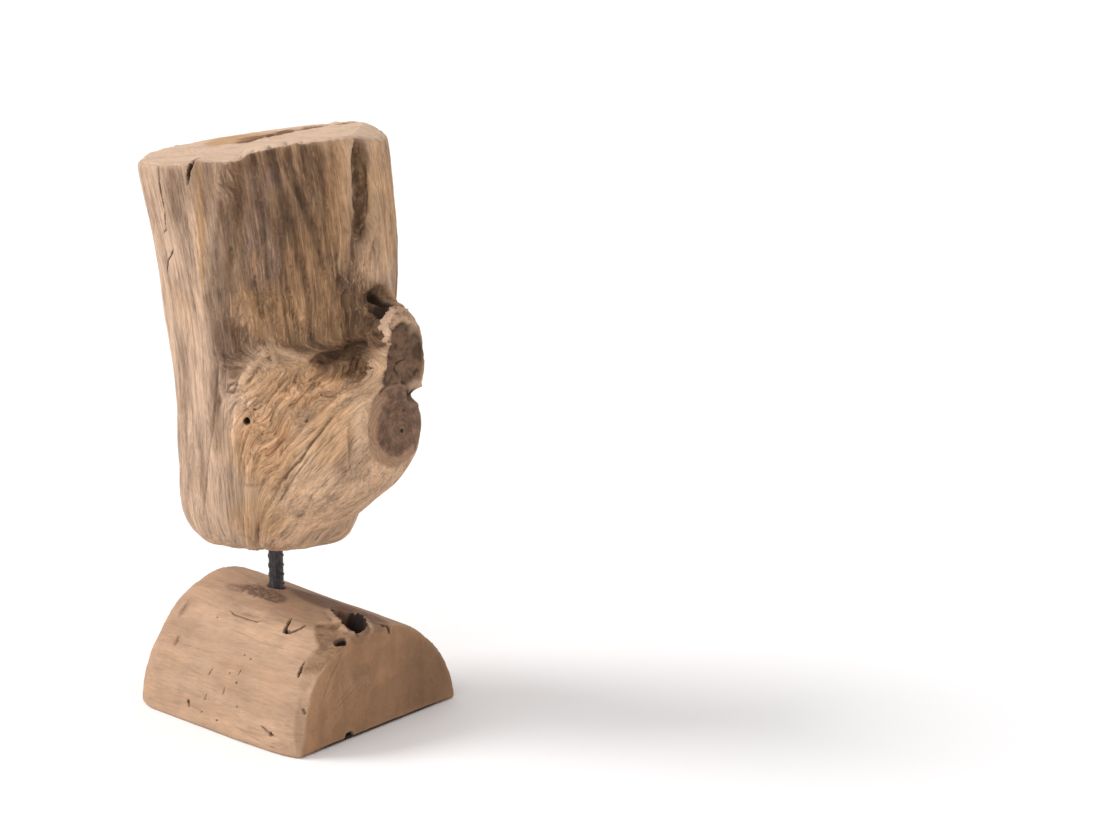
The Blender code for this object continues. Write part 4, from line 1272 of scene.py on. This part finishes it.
def log_finish(settings):
    """Sanded wood with grain along it, a browner sawn end with wide rings, and remains of bark, with painted
    highlights on proud places and painted shade in hollows, cracks and holes.
    """
    wood = Finish("base_wood")
    grain = wood.place("grain")
    broad = wood.noise(grain, (0.013, 0.013, 0.075), detail=3, warp=0.4)
    bands = wood.noise(grain, (0.0048, 0.0048, 0.04), detail=4, shift=4.0)
    lines = wood.noise(grain, (0.0016, 0.0016, 0.016), detail=4, roughness=0.6, shift=9.0)
    hairs = wood.noise(grain, (0.0007, 0.0007, 0.006), detail=3, roughness=0.7, shift=15.0)
    place = wood.own_place()
    blots = wood.noise(place, (0.02, 0.02, 0.02), detail=4, roughness=0.6, shift=2.0)
    fine = wood.noise(place, (0.0017, 0.0017, 0.0017), detail=4, roughness=0.7, shift=5.0)

    hollow, proud, dark, bark = (wood.painted(name) for name in ("hollow", "proud", "dark", "bark"))
    rough, chipped = wood.painted("rough"), wood.painted("chipped")
    tone = wood.mix(
        wood.between(
            broad * 0.7 + bands * 0.5 + (blots - 0.5) * 0.5 + wood.painted("shade") * 0.4, 0.35, 0.95),
        tuple(settings.side), tuple(settings.shade))
    tone = wood.mix(wood.painted("light") * 0.6, tone, times(settings.side, 1.15))
    tone = wood.mix(wood.between(lines, 0.55, 0.72) * 0.25, tone, times(settings.side, 1.15))
    tone = wood.mix(wood.between(lines, 0.43, 0.30) * 0.25, tone, times(settings.shade, 0.9))
    tone = wood.mix(wood.between(hairs, 0.41, 0.28) * 0.2, tone, times(settings.shade, 0.7))
    uneven = 1.0 + (lines - 0.5) * 0.35 + (bands - 0.5) * 0.7 + (hairs - 0.5) * 0.35 + (blots - 0.5) * 0.9
    tone = wood.scaled(tone, uneven)
    flesh = wood.mix(
        wood.between(fine * 0.6 + blots * 0.5, 0.45, 0.65),
        (0.30, 0.172, 0.09), (0.17, 0.093, 0.048))
    flesh = wood.mix(wood.between(fine, 0.40, 0.30) * 0.7, flesh, (0.09, 0.045, 0.022))
    tone = wood.mix(chipped * 0.95, tone, flesh)

    ring = wood.painted("ring")
    wave = ((ring + blots * 0.050) * 300.0).wave()
    thin = ((ring + blots * 0.050) * 1300.0).wave()
    end = wood.mix(
        wood.between(wave, -1.0, 1.0) * 0.35 + wood.between(thin, -0.5, 1.0) * 0.05 + (blots - 0.5) * 1.1,
        tuple(settings.end), times(settings.end, 0.72))
    end = wood.mix(wood.painted("light") * 0.6, end, times(settings.end, 1.35))
    end = wood.mix(wood.painted("shade") * 0.8, end, times(settings.end, 0.62))
    sweep = wood.noise(place, (0.02, 0.012, 0.045), detail=3, roughness=0.5, shift=8.0, warp=0.6)
    end = wood.scaled(end, 1.0 + (fine - 0.5) * 0.2 + (blots - 0.5) * 0.5 + (sweep - 0.5) * 0.5)
    end = wood.mix(wood.between(fine, 0.45, 0.30) * 0.3, end, times(settings.end, 0.55))
    tone = wood.mix(wood.painted("sawn_end"), tone, end)

    skin = wood.between(bark * 1.1 + (blots - 0.5) * 0.5 + (fine - 0.5) * 0.3, 0.15, 0.75)
    crust = wood.mix(wood.between(fine, 0.38, 0.64), times(settings.bark, 0.75), times(settings.bark, 1.5))
    tone = wood.mix(skin * 0.85, tone, crust)
    # Painted highlights on proud places, painted shade in hollows, and painted shade in cracks, holes and
    # under the end.
    tone = wood.mix(proud * (0.35 - 0.3 * chipped), tone, times(settings.side, 1.1))
    tone = wood.mix(wood.between(hollow, 0.08, 0.85) * 0.75, tone, times(settings.shade, 0.4))
    tone = wood.mix(wood.between(dark, 0.0, 0.6) * 0.8, tone, times(settings.shade, 0.5))
    tone = wood.mix(wood.between(dark, 0.6, 1.0), tone, tuple(settings.dark))
    relief = wood.bump(lines * 0.5 + hairs * 0.3 + fine * (rough * 1.2 + 0.1), 0.0011, 0.8)
    return wood.give(
        base_color=tone,
        roughness=wood.between(lines, 0.2, 0.9) * 0.14 + 0.66,
        specular_ior_level=0.3,
        normal=relief,
    )


class DRIFTWOOD_OT_bar(bpy.types.Operator):
    """Build the ribbed steel bar between the log and the driftwood"""

    bl_idname = "driftwood.bar"
    bl_label = "Ribbed bar"

    def execute(self, context):
        settings = context.scene.steel_bar
        low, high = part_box("steel_bar")
        radius = (high.x - low.x) / 2
        core = radius - settings.rib_height
        bpy.ops.object.select_all(action="DESELECT")
        bpy.ops.mesh.primitive_cylinder_add(
            vertices=settings.around, radius=core, depth=high.z - low.z,
            location=(0, 0, (high.z + low.z) / 2))
        piece = context.object
        piece.name = "stand_bar"
        bpy.ops.object.transform_apply(location=True)
        grid = bmesh.new()
        grid.from_mesh(piece.data)
        upright = [e for e in grid.edges if abs(e.verts[0].co.z - e.verts[1].co.z) > 0.01]
        bmesh.ops.subdivide_edges(grid, edges=upright, cuts=300, use_grid_fill=True)
        for vertex in grid.verts:
            self.raise_rib(vertex, settings, core)
        grid.to_mesh(piece.data)
        grid.free()
        select_only(piece)
        bpy.ops.object.shade_smooth_by_angle(angle=math.radians(50))
        piece.data.materials.clear()
        piece.data.materials.append(bar_finish(settings))
        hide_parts("steel_bar")
        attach(piece, "root")
        return {"FINISHED"}

    def raise_rib(self, vertex, settings, core):
        """Slanting crescent ribs on both sides, and a straight seam where the sides meet."""
        place = vertex.co
        out = math.hypot(place.x, place.y)
        if out < core * 0.9:
            return
        turn = math.atan2(place.y, place.x) + math.pi / 4
        share = (turn / math.pi) % 1.0
        spot = (place.z + settings.rib_climb * share) / settings.rib_spacing % 1.0
        gap = min(spot, 1 - spot) * settings.rib_spacing / (settings.rib_width / 2)
        crest = math.sin(math.pi * share) ** 0.6
        rib = max(0.0, 1 - gap**2) ** 0.6 * crest
        seam = max(0.0, 1 - (min(share, 1 - share) * math.pi * core / 0.0007) ** 2) ** 0.5
        lift = settings.rib_height * max(rib, seam * 0.75)
        place.x *= (out + lift) / out
        place.y *= (out + lift) / out


def bar_finish(settings):
    """Dark mill scale, rubbed a little brighter in places."""
    steel = Finish("ribbed_steel")
    place = steel.own_place()
    cloud = steel.noise(place, (0.004, 0.004, 0.007), detail=4, roughness=0.6)
    speck = steel.noise(place, (0.0007, 0.0007, 0.0007), detail=3, roughness=0.6, shift=6.0)
    tone = steel.mix(
        steel.between(cloud * 0.7 + speck * 0.4, 0.45, 0.8), tuple(settings.steel), tuple(settings.worn))
    tone = steel.mix(steel.between(cloud, 0.62, 0.8) * 0.25, tone, (0.10, 0.055, 0.035))
    return steel.give(
        base_color=tone,
        metallic=0.35,
        roughness=steel.between(speck, 0.3, 0.7) * 0.2 + 0.42,
        normal=steel.bump(speck * 0.5 + cloud, 0.0003, 0.6),
    )


def aimed(way):
    """The turn that points a light or a camera that way."""
    return way.to_track_quat("-Z", "Y").to_euler()


class DRIFTWOOD_OT_studio(bpy.types.Operator):
    """Make the floor, the lights and the camera"""

    bl_idname = "driftwood.studio"
    bl_label = "Studio"

    def execute(self, context):
        settings = context.scene.studio
        bpy.ops.object.select_all(action="DESELECT")
        bpy.ops.mesh.primitive_plane_add(size=90, location=(0, 0, 0))
        floor = context.object
        floor.name = "floor"
        paper = Finish("studio_floor")
        floor.data.materials.append(
            paper.give(base_color=(*settings.floor, 1.0), roughness=0.9, specular_ior_level=0.1))

        context.scene.world = bpy.data.worlds.new("studio_light")
        context.scene.world.use_nodes = True
        sky = context.scene.world.node_tree.nodes["Background"]
        sky.inputs["Color"].default_value = (1.0, 1.0, 1.0, 1.0)
        sky.inputs["Strength"].default_value = settings.sky

        turn, pitch = settings.camera_turn, settings.camera_pitch
        way = turn - settings.sun_turn
        from_left = Vector((math.cos(way), math.sin(way), 0)) * math.cos(settings.sun_height)
        towards = from_left - Vector((0, 0, math.sin(settings.sun_height)))
        bpy.ops.object.light_add(type="SUN", location=(0, 0, 2), rotation=aimed(towards))
        lamp = context.object.data
        lamp.energy, lamp.angle = settings.sun, settings.sun_softness

        front = Vector((-math.sin(turn - 0.75), math.cos(turn - 0.75), -0.55))
        bpy.ops.object.light_add(type="SUN", location=(0, -1, 2), rotation=aimed(front))
        fill = context.object.data
        fill.energy, fill.angle = settings.fill, math.radians(70)

        level = math.cos(pitch)
        ahead = Vector((-math.sin(turn) * level, math.cos(turn) * level, -math.sin(pitch)))
        bpy.ops.object.camera_add(location=settings.camera_place, rotation=aimed(ahead))
        camera = context.object
        camera.data.sensor_width, camera.data.lens = 36.0, settings.lens
        camera.data.clip_end = 200
        context.scene.camera = camera
        context.scene.view_settings.view_transform = "Standard"
        return {"FINISHED"}


class DRIFTWOOD_PT_panel(bpy.types.Panel):
    bl_label = "Piece of driftwood"
    bl_space_type = "VIEW_3D"
    bl_region_type = "UI"
    bl_category = "Driftwood"

    def draw(self, context):
        for step, name in STEPS:
            box = self.layout.box()
            box.operator(step.bl_idname)
            settings = getattr(context.scene, name)
            for key in settings.bl_rna.properties.keys():
                if key not in ("rna_type", "name"):
                    box.prop(settings, key)


STEPS = (
    (DRIFTWOOD_OT_trunk, "driftwood"),
    (DRIFTWOOD_OT_log, "base_log"),
    (DRIFTWOOD_OT_bar, "steel_bar"),
    (DRIFTWOOD_OT_studio, "studio"),
)
SETTINGS = {
    "driftwood": DriftwoodSettings,
    "base_log": LogSettings,
    "steel_bar": BarSettings,
    "studio": StudioSettings,
}
CLASSES = (*SETTINGS.values(), *(step for step, _ in STEPS), DRIFTWOOD_PT_panel)


def register():
    for made in CLASSES:
        bpy.utils.register_class(made)
    for name, group in SETTINGS.items():
        setattr(bpy.types.Scene, name, PointerProperty(type=group))


def unregister():
    for name in SETTINGS:
        delattr(bpy.types.Scene, name)
    for made in reversed(CLASSES):
        bpy.utils.unregister_class(made)


def main():
    register()
    bpy.ops.driftwood.trunk()
    bpy.ops.driftwood.log()
    bpy.ops.driftwood.bar()
    bpy.ops.driftwood.studio()


if __name__ == "__main__":
    main()
